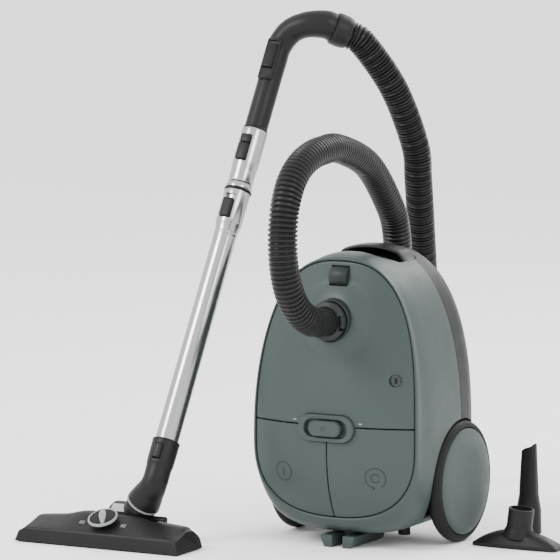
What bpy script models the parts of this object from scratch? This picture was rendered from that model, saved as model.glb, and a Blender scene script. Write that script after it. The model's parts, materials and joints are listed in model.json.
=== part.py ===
"""Bagged cylinder vacuum cleaner, parked upright on its rear end, with hose, wand and floor nozzle.

Frame: metres, +Z up, the lid faces -Y, X = 0 is the machine's plane of symmetry.  The origin is on
the floor, at the middle of the flat end of the parking bracket.
"""
from math import atan2, cos, pi, sin

import bmesh
import bpy
import numpy as np
from mathutils import Matrix, Vector

# ---------------------------------------------------------------- driving dimensions (metres)
BODY_MID_Z = 0.152            # height at which the body is widest
BODY_HALF_WIDTH = 0.134
BODY_TOP = 0.422
BODY_BOTTOM = 0.018
BODY_BACK_Y = 0.116
CASING_SPLIT_Y = 0.045        # where the green upper casing meets the dark lower casing
LID_HALF_WIDTH = 0.127
LID_TOP = 0.411
LID_BOTTOM = 0.046
LID_EDGE_Y = -0.090           # lid edge beside the pedals
LID_SLOPE = 0.020             # how far the edge falls back towards the top
LID_BULGE = 0.026
LID_SPLIT_Z = 0.180           # seam between lid and pedals
SHELL = 0.003
GAP = 0.0004                  # clearance between fixed neighbours
PLAY = 0.0009                 # clearance between moving neighbours

WHEEL_RADIUS = 0.088
WHEEL_Y = 0.050
WHEEL_INNER_X = 0.1125
WHEEL_OUTER_X = 0.139
WELL_X = 0.1085

INLET_Z = 0.330
CUFF_FACE_Y = -0.120
BEZEL_Z = 0.177

HOSE_RADIUS = 0.021
SQUARE_END = 0.004            # straight length at each end of the hose
WAND_DIRECTION = Vector((0.041, 0.471, 0.881)).normalized()
WAND_START = Vector((-0.2364, -0.1624, 0.1415))
NECK_PIVOT = Vector((-0.278, -0.180, 0.035))
NECK_ELBOW = Vector((-0.239, -0.190, 0.089))

HEAD_CENTRE_X = -0.300
HEAD_WIDTH = 0.270
HEAD_FRONT_Y = -0.255
HEAD_BACK_Y = -0.180

RING = 32                     # points round a body outline
ROUND = 16                    # points round an ordinary turned piece
HOOP = 12                     # points round the handle and the crevice tool

LOOKS = {                     # base colour, roughness, metallic
    "sage": ((0.130, 0.172, 0.165), 0.38, 0.0),
    "sage dark": ((0.095, 0.125, 0.120), 0.42, 0.0),
    "charcoal": ((0.040, 0.040, 0.042), 0.45, 0.0),
    "black": ((0.012, 0.012, 0.013), 0.55, 0.0),
    "rubber": ((0.022, 0.022, 0.023), 0.75, 0.0),
    "chrome": ((0.72, 0.72, 0.71), 0.16, 1.0),
    "steel": ((0.55, 0.55, 0.56), 0.30, 1.0),
    "silver plastic": ((0.52, 0.53, 0.54), 0.30, 0.2),
    "white plastic": ((0.62, 0.62, 0.60), 0.45, 0.0),
    "paper": ((0.62, 0.57, 0.48), 0.90, 0.0),
    "foam": ((0.10, 0.10, 0.11), 0.95, 0.0),
    "board": ((0.03, 0.16, 0.07), 0.50, 0.0),
    "bristle": ((0.05, 0.05, 0.055), 0.85, 0.0),
    "lens": ((0.30, 0.03, 0.02), 0.15, 0.0),
}


# ---------------------------------------------------------------- building blocks
def clear_scene():
    for old in list(bpy.data.objects):
        bpy.data.objects.remove(old, do_unlink=True)


def make_material(name, look):
    colour, roughness, metallic = LOOKS[look]
    material = bpy.data.materials.new(name)
    material.use_nodes = True
    shader = material.node_tree.nodes["Principled BSDF"]
    shader.inputs["Base Color"].default_value = (*colour, 1.0)
    shader.inputs["Roughness"].default_value = roughness
    shader.inputs["Metallic"].default_value = metallic
    return material


def add_object(name, points, faces, look, origin=(0, 0, 0), flat=False):
    """One mesh object with its own material; points are world positions, origin is its pivot.

    flat splits twisted faces into flat triangles, which a Boolean cuts cleanly.
    """
    centre = Vector(origin)
    mesh = bpy.data.meshes.new(name)
    mesh.from_pydata([Vector(p) - centre for p in points], [], faces)
    work = bmesh.new()
    work.from_mesh(mesh)
    bmesh.ops.recalc_face_normals(work, faces=work.faces)
    if flat:
        bmesh.ops.triangulate(work, faces=work.faces)
    work.to_mesh(mesh)
    work.free()
    mesh.shade_smooth()
    mesh.set_sharp_from_angle(angle=0.6)
    thing = bpy.data.objects.new(name, mesh)
    thing.location = centre
    bpy.context.scene.collection.objects.link(thing)
    if look:
        mesh.materials.append(make_material(name, look))
    else:
        thing.hide_render = True
        thing.display_type = "WIRE"
    return thing


def boolean(target, tool, operation="DIFFERENCE"):
    modifier = target.modifiers.new(operation.title(), "BOOLEAN")
    modifier.operation = operation
    modifier.solver = "EXACT"
    modifier.object = tool
    return target


def loft(name, rings, look, origin=(0, 0, 0)):
    """Closed solid through rings that all have the same number of points."""
    count = len(rings[0])
    points = [p for ring in rings for p in ring]
    faces = [list(range(count))[::-1], [len(points) - count + i for i in range(count)]]
    for row in range(len(rings) - 1):
        low, high = row * count, (row + 1) * count
        for i in range(count):
            j = (i + 1) % count
            faces.append([low + i, low + j, high + j, high + i])
    return add_object(name, points, faces, look, origin, flat=True)


def turned(name, profile, start, direction, look, segments=ROUND, origin=None):
    """Body of revolution: profile is a closed outline of (radius, distance along direction)."""
    axis = Vector(direction).normalized()
    side = axis.orthogonal().normalized()
    up = axis.cross(side)
    base = Vector(start)
    points, index = [], []
    for radius, along in profile:
        if radius == 0:
            index.append([len(points)] * segments)
            points.append(base + axis * along)
            continue
        index.append([len(points) + i for i in range(segments)])
        for i in range(segments):
            turn = 2 * pi * i / segments
            points.append(base + axis * along + (side * cos(turn) + up * sin(turn)) * radius)
    faces = []
    for a in range(len(profile)):
        b = (a + 1) % len(profile)
        if profile[a][0] == 0 and profile[b][0] == 0:
            continue
        for i in range(segments):
            j = (i + 1) % segments
            corners = [index[a][i], index[a][j], index[b][j], index[b][i]]
            faces.append(list(dict.fromkeys(corners)))
    return add_object(name, points, faces, look, base if origin is None else origin)


def rod(name, start, end, radius, look, segments=ROUND, origin=None):
    length = (Vector(end) - Vector(start)).length
    profile = [(0, 0), (radius, 0), (radius, length), (0, length)]
    return turned(name, profile, start, Vector(end) - Vector(start), look, segments, origin)


def block(name, low, high, look, bevel=0.0, origin=None, steps=1):
    """Box between two corners, with rounded edges if bevel is given."""
    (x0, y0, z0), (x1, y1, z1) = low, high
    points = [(x, y, z) for z in (z0, z1) for y in (y0, y1) for x in (x0, x1)]
    faces = [(0, 2, 3, 1), (4, 5, 7, 6), (0, 1, 5, 4), (1, 3, 7, 5), (3, 2, 6, 7), (2, 0, 4, 6)]
    centre = Vector(((x0 + x1) / 2, (y0 + y1) / 2, (z0 + z1) / 2)) if origin is None else origin
    thing = add_object(name, points, faces, look, centre)
    if bevel:
        modifier = thing.modifiers.new("Bevel", "BEVEL")
        modifier.width = bevel
        modifier.segments = steps
    return thing


def shell_of(name, outer, inner, look, origin):
    """Closed tube wall between two rows of rings, open at both ends."""
    rings = outer + inner[::-1]
    count = len(outer[0])
    points = [p for ring in rings for p in ring]
    faces = []
    for row in range(len(rings)):
        low, high = row * count, ((row + 1) % len(rings)) * count
        for i in range(count):
            j = (i + 1) % count
            faces.append([low + i, low + j, high + j, high + i])
    return add_object(name, points, faces, look, origin, flat=True)


def oval_ring(half_width, half_height, centre, count=ROUND):
    """Stadium outline in the XZ plane."""
    straight = half_width - half_height
    ring = []
    for i in range(count):
        turn = 2 * pi * (i + 0.5) / count
        shift = straight if cos(turn) > 0 else -straight
        ring.append((centre[0] + shift + half_height * cos(turn), centre[1],
                     centre[2] + half_height * sin(turn)))
    return ring


def smooth(value):
    value = min(1.0, max(0.0, value))
    return value * value * (3 - 2 * value)


def curve_points(route, spacing):
    """Evenly spaced points on the Catmull-Rom curve through the route."""
    knots = [Vector(p) for p in route]
    knots = [2 * knots[0] - knots[1]] + knots + [2 * knots[-1] - knots[-2]]
    dense = []
    for a, b, c, d in zip(knots, knots[1:], knots[2:], knots[3:]):
        for i in range(40):
            t = i / 40
            dense.append(0.5 * (2 * b + (c - a) * t + (2 * a - 5 * b + 4 * c - d) * t * t
                                + (3 * b - a - 3 * c + d) * t ** 3))
    dense.append(knots[-2])
    steps = np.cumsum([0.0] + [(q - p).length for p, q in zip(dense, dense[1:])])
    wanted = np.linspace(0, steps[-1], max(2, round(steps[-1] / spacing)) + 1)
    flat = np.array([list(p) for p in dense])
    return [Vector([np.interp(w, steps, flat[:, k]) for k in range(3)]) for w in wanted]


# ---------------------------------------------------------------- body outlines
def egg_radius(angle, half_width, top, bottom, power_top, power_bottom):
    """Distance from the body's middle to an egg-shaped outline at a polar angle."""
    across, up = cos(angle), sin(angle)
    height, power = (top - BODY_MID_Z, power_top) if up >= 0 else (BODY_MID_Z - bottom, power_bottom)
    return (abs(across / half_width) ** power + abs(up / height) ** power) ** (-1 / power)


def body_radius(angle):
    return egg_radius(angle, BODY_HALF_WIDTH, BODY_TOP, BODY_BOTTOM, 2.35, 3.4)


def lid_radius(angle):
    return egg_radius(angle, LID_HALF_WIDTH, LID_TOP, LID_BOTTOM, 2.65, 2.5)


def at(angle, radius, y):
    return (radius * cos(angle), y, BODY_MID_Z + radius * sin(angle))


def lid_edge_y(z):
    return LID_EDGE_Y + LID_SLOPE * smooth((z - 0.17) / (LID_TOP - 0.17))


def front_y(x, z):
    """The lid and pedal surface: a dome over the lid's outline."""
    angle = atan2(z - BODY_MID_Z, x)
    share = min(1.0, (x * x + (z - BODY_MID_Z) ** 2) ** 0.5 / lid_radius(angle))
    return lid_edge_y(z) - LID_BULGE * (1 - share ** 2.4)


def body_ring(y, inset=0.0, to_lid=0.0, lid_gap=0.0, lean=False):
    """One section of the body across Y, blended towards the lid's outline by to_lid."""
    ring = []
    for i in range(RING):
        angle = 2 * pi * i / RING
        radius = (1 - to_lid) * body_radius(angle) + to_lid * (lid_radius(angle) + lid_gap) - inset
        point = at(angle, radius, y)
        if lean:
            point = (point[0], lid_edge_y(point[2]) + y - LID_EDGE_Y, point[2])
        ring.append(point)
    return ring


def wheel_well(side, extra):
    inner = WELL_X - extra
    return rod(f"cut_well_{side}_{extra}", (side * inner, WHEEL_Y, WHEEL_RADIUS),
               (side * 0.2, WHEEL_Y, WHEEL_RADIUS), WHEEL_RADIUS + 0.003 + extra, None, 20)


# ---------------------------------------------------------------- casings
def upper_casing():
    """Green shell from the lid's opening back to the casing split."""
    edge = LID_EDGE_Y
    casing = loft("upper_casing", [
        body_ring(CASING_SPLIT_Y), body_ring(-0.030), body_ring(-0.066, 0.0015, 0.10),
        body_ring(-0.084, 0.0, 0.55, 0.003, True), body_ring(edge - 0.0005, 0, 1, 0.0032, True),
        body_ring(edge + 0.0003, 0, 1, 0.0010, True), ], "sage")
    hollow = loft("cut_upper_hollow", [
        body_ring(CASING_SPLIT_Y + 0.02, SHELL), body_ring(-0.030, SHELL),
        body_ring(-0.064, 0.0042, 0.10), body_ring(-0.080, 0.0020, 0.75, 0.001, True),
        body_ring(edge + 0.0045, 0, 1, PLAY, True), body_ring(edge - 0.02, 0, 1, PLAY, True)], None)
    for side in (-1, 1):
        boolean(hollow, wheel_well(side, SHELL))
        boolean(casing, wheel_well(side, 0.0))
    boolean(casing, hollow)
    grip_recess = block("cut_grip_recess", (-0.058, -0.014, 0.385), (0.058, 0.08, 0.44), None, 0.005)
    boolean(casing, grip_recess)
    grille_hole = block("cut_grille_hole", (-0.086, -0.030, 0.0), (-0.034, 0.030, 0.030), None)
    boolean(casing, grille_hole)
    outlet_hole = rod("cut_outlet_hole", (0.066, 0.0, 0.0), (0.066, 0.0, 0.030), 0.0092, None, 20)
    return boolean(casing, outlet_hole)


def lower_casing():
    """Dark shell that is the underside in use: it carries the wheels and the caster."""
    split = CASING_SPLIT_Y + GAP
    casing = loft("lower_casing", [
        body_ring(split), body_ring(0.074, 0.001), body_ring(0.094, 0.007),
        body_ring(0.108, 0.019), body_ring(BODY_BACK_Y, 0.038)], "charcoal")
    hollow = loft("cut_lower_hollow", [
        body_ring(split - 0.02, SHELL), body_ring(0.073, 0.004), body_ring(0.092, 0.0105),
        body_ring(0.1045, 0.023), body_ring(BODY_BACK_Y - SHELL, 0.040)], None)
    for side in (-1, 1):
        boolean(hollow, wheel_well(side, SHELL))
        boolean(casing, wheel_well(side, 0.0))
    boolean(hollow, rod("cut_caster_wall", (0, CASTER_SEAT_Y - SHELL, CASTER_Z), (0, 0.2, CASTER_Z),
                        CASTER_POCKET + SHELL, None, 32))
    boolean(casing, hollow)
    boolean(casing, rod("cut_caster_pocket", (0, CASTER_SEAT_Y, CASTER_Z), (0, 0.2, CASTER_Z),
                        CASTER_POCKET, None, 32))
    boolean(casing, rod("cut_caster_stem", (0, 0.06, CASTER_Z), (0, 0.1, CASTER_Z), 0.0058, None, 20))
    grip_recess = block("cut_grip_recess_back", (-0.058, 0.02, 0.385), (0.058, 0.058, 0.44), None)
    boolean(hollow, block("cut_grip_wall_back", (-0.061, 0.0, 0.382), (0.061, 0.061, 0.45), None))
    return boolean(casing, grip_recess)


def carry_handle():
    """Dark grip that bridges the recess at the top end."""
    rings = []
    for i in range(17):
        x = -0.0575 + 0.115 * i / 16
        share = abs(x) / 0.0575
        top = BODY_TOP + 0.0045 - 0.0135 * share ** 2.2
        thick = 0.0075 + 0.004 * share ** 3
        rings.append([(x, y, z) for y, z in (
            (0.0185, top - thick * 0.75), (0.022, top - thick), (0.042, top - thick),
            (0.0565, top - thick * 0.7), (0.0575, top - 0.003), (0.050, top), (0.024, top - 0.001),
            (0.019, top - 0.003))])
    return loft("carry_handle", rings, "charcoal")


def parking_bracket():
    """U-shaped bracket at the rear end: two prongs round the parking slot, joined by a web."""
    bracket = block("parking_bracket", (-0.028, -0.082, 0.0), (0.028, 0.020, 0.0172), "sage", 0.0015,
                    Vector((0, 0, 0)))
    slot = block("cut_parking_slot", (-0.0085, -0.100, -0.01), (0.0085, -0.042, 0.02), None)
    return boolean(bracket, slot)


def lid_seal():
    """Rubber seal on the bag chamber's edge, just behind the lid."""
    outer, inner = [], []
    for i in range(RING):
        angle = 2 * pi * i / RING
        radius = lid_radius(angle)
        for ring, inset in ((outer, 0.0062), (inner, 0.0092)):
            x, _, z = at(angle, radius - inset, 0)
            z = max(z, LID_SPLIT_Z + 0.0035 + (0.003 if ring is inner else 0))
            ring.append((x, z))
    front, back = 0.0055, 0.0085
    outer_rings = [[(x, lid_edge_y(z) + depth, z) for x, z in outer] for depth in (front, back)]
    inner_rings = [[(x, lid_edge_y(z) + depth, z) for x, z in inner] for depth in (front, back)]
    shell_of("lid_seal", outer_rings, inner_rings, "rubber", (0, 0, 0))


# ---------------------------------------------------------------- lid and controls
def front_dome(name, look, origin):
    """The whole domed front panel, before it is cut into lid and pedals."""
    shares = (0.0, 0.35, 0.62, 0.82, 0.94, 1.0)
    points, index = [], []
    for inset in (0.0, SHELL):
        for share in shares:
            row = []
            for i in range(RING):
                angle = 2 * pi * i / RING
                x, _, z = at(angle, lid_radius(angle) * share, 0)
                if share == 0.0 and i:
                    row.append(row[0])
                    continue
                row.append(len(points))
                points.append((x, front_y(x, z) + inset, z))
            index.append(row)
    order = list(range(len(shares))) + list(range(2 * len(shares) - 1, len(shares) - 1, -1))
    faces = []
    for a, b in zip(order, order[1:]):
        for i in range(RING):
            j = (i + 1) % RING
            corners = [index[a][i], index[a][j], index[b][j], index[b][i]]
            faces.append(list(dict.fromkeys(corners)))
    return add_object(name, points, faces, look, origin, flat=True)


def front_cutters():
    """Shapes that the lid, the pedals and the bezel share."""
    centre = (0, -0.10, BEZEL_Z)
    oval = [[(x, y, z) for x, _, z in oval_ring(0.0450, 0.0205, centre)] for y in (-0.16, -0.06)]
    return {
        "oval": loft("cut_bezel_oval", oval, None),
        "below": block("cut_below_lid", (-0.2, -0.2, -0.1), (0.2, 0.0, LID_SPLIT_Z + 0.0006), None),
        "above": block("cut_above_pedals", (-0.2, -0.2, LID_SPLIT_Z - 0.0006), (0.2, 0.0, 0.6), None),
        "right": block("cut_right_half", (-0.0007, -0.2, -0.1), (0.3, 0.0, 0.6), None),
        "left": block("cut_left_half", (-0.3, -0.2, -0.1), (0.0007, 0.0, 0.6), None),
    }


def dust_lid(cutters):
    lid = front_dome("dust_lid", "sage", HINGE_POINT)
    boolean(lid, cutters["below"])
    boolean(lid, cutters["oval"])
    boolean(lid, rod("cut_inlet_hole", (0, -0.14, INLET_Z), (0, 0.0, INLET_Z), 0.0306, None, 24))
    boolean(lid, rod("cut_lens_hole", (LENS_X, -0.14, LENS_Z), (LENS_X, 0.0, LENS_Z), 0.0090, None, 20))
    latch_hole = block("cut_latch_hole", (-0.0145, -0.14, LATCH_LOW - 0.001),
                       (0.0145, 0.0, LATCH_HIGH + 0.001), None)
    return boolean(lid, latch_hole)


def lid_fittings():
    turned("inlet_collar", [(0.0300, 0.0), (0.0300, 0.034), (0.0245, 0.034), (0.0180, 0.052),
                            (0.0160, 0.052), (0.0160, 0.028), (0.0262, 0.028), (0.0262, 0.0)],
           (0, -0.1060, INLET_Z), (0, 1, 0), "sage dark", 24)
    lens_y = front_y(LENS_X, LENS_Z)
    rod("bag_indicator", (LENS_X, lens_y - 0.0012, LENS_Z), (LENS_X, lens_y + 0.006, LENS_Z), 0.0086,
        "lens", 20)
    surface = front_y(0, LATCH_LOW)
    block("lid_latch", (-0.0135, surface - 0.0065, LATCH_LOW), (0.0135, surface + 0.0105, LATCH_HIGH),
          "charcoal", 0.002)


def hose_cuff():
    """Plug on the hose's end that turns in the inlet, with its release button."""
    cuff = turned("hose_cuff", [(0.0255, 0.0265), (0.0255, 0.0034), (0.0300, 0.0034), (0.0300, -0.008),
                                (0.0240, -0.010), (0.0205, -0.010), (0.0150, -0.002), (0.0150, 0.0265)],
                  (0, CUFF_FACE_Y + 0.010, INLET_Z), (0, 1, 0), "charcoal", 24)
    notch = block("cut_cuff_button", (0.0240, -0.1170, INLET_Z - 0.0080),
                  (0.040, -0.1075, INLET_Z + 0.0080), None)
    boolean(cuff, notch)
    block("cuff_button", (0.0266, -0.1162, INLET_Z - 0.0072), (0.0322, -0.1083, INLET_Z + 0.0072),
          "charcoal", 0.0012)


def pedals(cutters):
    for name, side, other in (("power_pedal", -1, "right"), ("rewind_pedal", 1, "left")):
        hinge = (side * 0.060, PEDAL_HINGE_Y, PEDAL_HINGE_Z)
        pedal = front_dome(name, "sage", hinge)
        boolean(pedal, cutters["above"])
        boolean(pedal, cutters[other])
        boolean(pedal, cutters["oval"])


def bezel_and_slider():
    """Oval bezel across the seam, and the suction slider that moves along it."""
    face = -0.1205
    rings = [oval_ring(0.0425, 0.0180, (0, -0.096, BEZEL_Z)),
             oval_ring(0.0440, 0.0195, (0, face + 0.003, BEZEL_Z)),
             oval_ring(0.0425, 0.0180, (0, face, BEZEL_Z))]
    bezel = loft("slider_bezel", rings, "sage dark")
    tray = [oval_ring(0.0405, 0.0130, (0, y, BEZEL_Z)) for y in (face - 0.01, face + 0.0085)]
    boolean(bezel, loft("cut_slider_tray", tray, None))
    knob = [oval_ring(0.0300, 0.0110, (0, face + 0.0080, BEZEL_Z)),
            oval_ring(0.0310, 0.0118, (0, face - 0.002, BEZEL_Z)),
            oval_ring(0.0285, 0.0095, (0, face - 0.005, BEZEL_Z))]
    loft("power_slider", knob, "sage", (0, face, BEZEL_Z))


# ---------------------------------------------------------------- inside the machine
def inner_outline(z):
    """Half-width of the space inside the casings at a height."""
    low, high = 0.0, pi / 2
    for _ in range(30):
        angle = (low + high) / 2
        height = BODY_MID_Z + body_radius(angle) * sin(angle)
        low, high = (angle, high) if height < z else (low, angle)
    return body_radius(low) * cos(low) - SHELL


def bag_chamber():
    half = inner_outline(BULKHEAD_Z) - 0.002
    wall = block("bulkhead", (-half, -0.062, BULKHEAD_Z - SHELL), (half, 0.072, BULKHEAD_Z), "charcoal")
    boolean(wall, block("cut_air_window", (-0.070, -0.020, 0.1), (0.000, 0.050, 0.3), None))
    block("motor_filter", (-0.078, -0.028, BULKHEAD_Z + GAP), (0.008, 0.058, BULKHEAD_Z + 0.0105), "foam")
    holder = block("bag_holder", (-0.052, -0.0475, 0.285), (0.052, -0.0445, 0.372), "white plastic", 0.0010)
    boolean(holder, rod("cut_bag_mouth", (0, -0.1, INLET_Z), (0, 0.0, INLET_Z), 0.020, None, 24))
    bag = block("dust_bag", (-0.088, -0.0435, 0.202), (0.088, 0.030, 0.376), "paper", 0.018, None, 2)
    boolean(bag, rod("cut_bag_opening", (0, -0.1, INLET_Z), (0, -0.020, INLET_Z), 0.0185, None, 24))


def motor():
    """Suction motor: a housing open at both ends, with the shaft and impeller turning inside."""
    x, y = MOTOR_X, MOTOR_Y
    turned("motor_casing", [(0.044, 0.060), (0.044, 0.138), (0.048, 0.140), (0.048, 0.172),
                            (0.018, 0.172), (0.018, 0.169), (0.0455, 0.169), (0.0455, 0.142),
                            (0.041, 0.138), (0.041, 0.064), (0.007, 0.064), (0.007, 0.060)],
           (x, y, 0.0), (0, 0, 1), "steel")
    turned("motor_mount", [(0.0500, 0.150), (0.0500, 0.1740), (0.0486, 0.1740), (0.0486, 0.150)],
           (x, y, 0.0), (0, 0, 1), "rubber")
    turned("motor_shaft", [(0, 0.052), (0.0045, 0.052), (0.0045, 0.080), (0.026, 0.082),
                           (0.026, 0.126), (0.0045, 0.128), (0.0045, 0.1430), (0, 0.1430)],
           (x, y, 0.0), (0, 0, 1), "steel")
    impeller = turned("impeller", [(0, 0.1434), (0.040, 0.1434), (0.040, 0.1450), (0.012, 0.1480),
                                   (0.009, 0.1600), (0, 0.1600)], (x, y, 0.0), (0, 0, 1), "silver plastic")
    vane = block("vane_guide", (x + 0.006, y - 0.0008, 0.1442), (x + 0.038, y + 0.0008, 0.1570), None)
    for i in range(6):
        turn = Matrix.Translation((x, y, 0)) @ Matrix.Rotation(i * pi / 3, 4, "Z") @ Matrix.Translation(
            (-x, -y, 0))
        blade = vane.copy()
        blade.matrix_world = turn @ Matrix.Translation(vane.location)
        bpy.context.scene.collection.objects.link(blade)
        boolean(impeller, blade, "UNION")


def exhaust():
    block("exhaust_filter", (-0.082, -0.028, 0.0245), (-0.038, 0.028, 0.044), "paper")
    grille = block("exhaust_grille", (-0.0855, -0.0295, 0.0195), (-0.0345, 0.0295, 0.0238), "charcoal")
    for i in range(6):
        x = -0.080 + i * 0.008
        slot = block(f"cut_grille_slot_{i}", (x - 0.0022, -0.024, 0.0), (x + 0.0022, 0.024, 0.03), None)
        boolean(grille, slot)


def cord_reel():
    """Rewind drum that turns on a fixed axle beside the motor."""
    turned("reel_drum", [(0.0075, 0.0), (0.064, 0.0), (0.064, 0.002), (0.030, 0.002), (0.030, 0.036),
                         (0.064, 0.036), (0.064, 0.038), (0.0075, 0.038)],
           (REEL_X, MOTOR_Y, REEL_Z), (1, 0, 0), "white plastic")
    turned("reel_axle", [(0, -0.012), (0.020, -0.012), (0.020, -0.009), (0.0068, -0.009),
                         (0.0068, 0.044), (0.012, 0.044), (0.012, 0.047), (0, 0.047)],
           (REEL_X, MOTOR_Y, REEL_Z), (1, 0, 0), "steel")


def electronics():
    block("circuit_board", (-0.096, -0.0570, 0.062), (0.092, -0.0554, 0.150), "board")
    block("power_switch", (-0.098, -0.0924, 0.098), (-0.074, -0.0576, 0.122), "black", 0.0015)
    block("suction_control", (-0.020, -0.0900, 0.126), (0.020, -0.0576, 0.1495), "black", 0.0015)
    turned("cord_outlet", [(0.0088, 0.0), (0.0088, 0.016), (0.0060, 0.016), (0.0060, 0.0)],
           (0.066, 0.0, 0.0125), (0, 0, 1), "black", 20)


# ---------------------------------------------------------------- wheels
def rear_wheels():
    for side, word in ((-1, "left"), (1, "right")):
        hub = (side * WHEEL_INNER_X, WHEEL_Y, WHEEL_RADIUS)
        width = WHEEL_OUTER_X - WHEEL_INNER_X
        turned(f"wheel_{word}", [
            (0.0058, 0.0), (0.070, 0.0), (0.084, 0.006), (WHEEL_RADIUS, 0.016),
            (0.0868, width - 0.004), (0.083, width), (0.0775, width), (0.0775, width - 0.006),
            (0.0058, width - 0.006)], hub, (side, 0, 0), "rubber", 26)
        cap_start = (side * (WHEEL_OUTER_X - 0.0056), WHEEL_Y, WHEEL_RADIUS)
        turned(f"hub_cap_{word}", [(0, 0.0), (0.0770, 0.0), (0.0770, 0.0062), (0.0745, 0.0080),
                                   (0.050, 0.0098), (0, 0.0106)], cap_start, (side, 0, 0), "sage", 26)
        rod(f"wheel_axle_{word}", (side * (WELL_X + GAP), WHEEL_Y, WHEEL_RADIUS),
            (side * (WHEEL_OUTER_X - 0.0066), WHEEL_Y, WHEEL_RADIUS), 0.0050, "steel", 16)


def caster():
    """Swivelling fork with its small wheel; the swivel axis is along Y through the pocket."""
    pivot = Vector((0, CASTER_SEAT_Y, CASTER_Z))
    axle = pivot + Vector((0, CASTER_WHEEL_Y - CASTER_SEAT_Y, CASTER_TRAIL))
    fork = turned("caster_fork", [(0, -0.012), (0.0052, -0.012), (0.0052, 0.0004), (0.034, 0.0004),
                                  (0.034, 0.0045), (0, 0.0045)], pivot, (0, 1, 0), "charcoal", 28)
    for side in (-1, 1):
        inner, outer = 0.0088, 0.0120
        x0, x1 = sorted((side * inner, side * outer))
        cheek = block(f"cheek_guide_{side}", (x0, CASTER_SEAT_Y + 0.002, axle.z - 0.011),
                      (x1, CASTER_WHEEL_Y + 0.008, axle.z + 0.011), None)
        boolean(fork, cheek, "UNION")
    boolean(fork, rod("axle_guide", axle - Vector((0.0105, 0, 0)), axle + Vector((0.0105, 0, 0)), 0.0025,
                      None, 12), "UNION")
    turned("caster_wheel", [(0.0032, -0.0078), (0.0170, -0.0078), (0.0190, -0.0055), (0.0190, 0.0055),
                            (0.0170, 0.0078), (0.0032, 0.0078)], axle, (1, 0, 0), "rubber", 24)


# ---------------------------------------------------------------- wand and handle
def along_wand(distance, offset=0.0):
    """Point on the wand's axis, or offset towards its button side."""
    return WAND_START + WAND_DIRECTION * distance + BUTTON_SIDE * offset


def wand_button(name, low, high, near, far, half_width, look):
    """Rounded slab on the wand, from low to high along it and near to far out of its axis."""
    button = block(name, (-half_width, near, low), (half_width, far, high), look, 0.0022, Vector((0, 0, 0)))
    side = BUTTON_SIDE.cross(WAND_DIRECTION)
    turn = Matrix((side, BUTTON_SIDE, WAND_DIRECTION)).transposed().to_4x4()
    button.matrix_world = Matrix.Translation(WAND_START) @ turn
    return button


def telescopic_tubes():
    lower = turned("lower_tube", [(0.0170, -0.030), (0.0170, 0.332), (0.0195, 0.342), (0.0195, LOCK_START),
                                  (0.0160, LOCK_START), (0.0160, -0.030)],
                   WAND_START, WAND_DIRECTION, "chrome")
    boolean(lower, wand_button("cut_telescope_button", 0.349, 0.388, 0.0140, 0.03, 0.0092, None))
    turned("tube_lock", [(0.0200, LOCK_START + GAP), (0.0205, LOCK_START + 0.003), (0.0205, LOCK_END - 0.002),
                         (0.0195, LOCK_END), (0.0160, LOCK_END), (0.0160, LOCK_START + GAP)],
           WAND_START, WAND_DIRECTION, "black")
    turned("upper_tube", [(0.0152, 0.040), (0.0152, 0.402), (0.0152, LOCK_END + 0.001),
                          (0.0185, LOCK_END + 0.002), (0.0195, 0.440), (0.0195, 0.493), (0.0172, 0.493),
                          (0.0172, 0.430), (0.0140, 0.425), (0.0140, 0.040)],
           WAND_START, WAND_DIRECTION, "chrome")
    boolean(bpy.data.objects["upper_tube"], wand_button("cut_handle_lock", 0.4395, 0.4815, 0.0165, 0.03,
                                                        0.0088, None))
    wand_button("telescope_button", 0.351, 0.379, 0.0163, 0.0235, 0.0082, "charcoal")
    wand_button("handle_lock", 0.4405, 0.4805, 0.0190, 0.0252, 0.0080, "charcoal")


def handle_grip():
    """Bent suction handle: a pipe that swells at the bend, open at both ends."""
    spine = curve_points([along_wand(0.470), along_wand(0.540), along_wand(0.600), *HANDLE_BEND], 0.0115)
    total = len(spine) - 1
    outer, inner = [], []
    side = BUTTON_SIDE
    for i, point in enumerate(spine):
        ahead = (spine[min(i + 1, total)] - spine[max(i - 1, 0)]).normalized()
        if i == total:
            ahead = SWIVEL_DIRECTION
        side = (side - ahead * side.dot(ahead)).normalized()
        up = ahead.cross(side)
        reach = (point - along_wand(0.4935)).dot(WAND_DIRECTION)
        swell = 0.0168 if reach < 0 and i < total / 2 else 0.0172 + 0.0016 * smooth((i / total - 0.45) * 3)
        for ring, radius in ((outer, swell), (inner, 0.0140)):
            ring.append([point + (side * cos(2 * pi * k / HOOP) + up * sin(2 * pi * k / HOOP)) * radius
                         for k in range(HOOP)])
    shell_of("handle_grip", outer, inner, "charcoal", along_wand(0.4935))


def air_regulator():
    """Sliding air valve on the outside of the grip."""
    wand_button("air_regulator", 0.588, 0.626, 0.0185, 0.0235, 0.0095, "black")


def handle_swivel():
    """Turning collar between the handle and the hose."""
    turned("handle_swivel", [(0.0195, 0.0006), (0.0225, 0.004), (0.0225, 0.022), (0.0212, 0.0265),
                             (0.0150, 0.0265), (0.0150, 0.0006)],
           HANDLE_END, SWIVEL_DIRECTION, "charcoal", 28)


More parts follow.
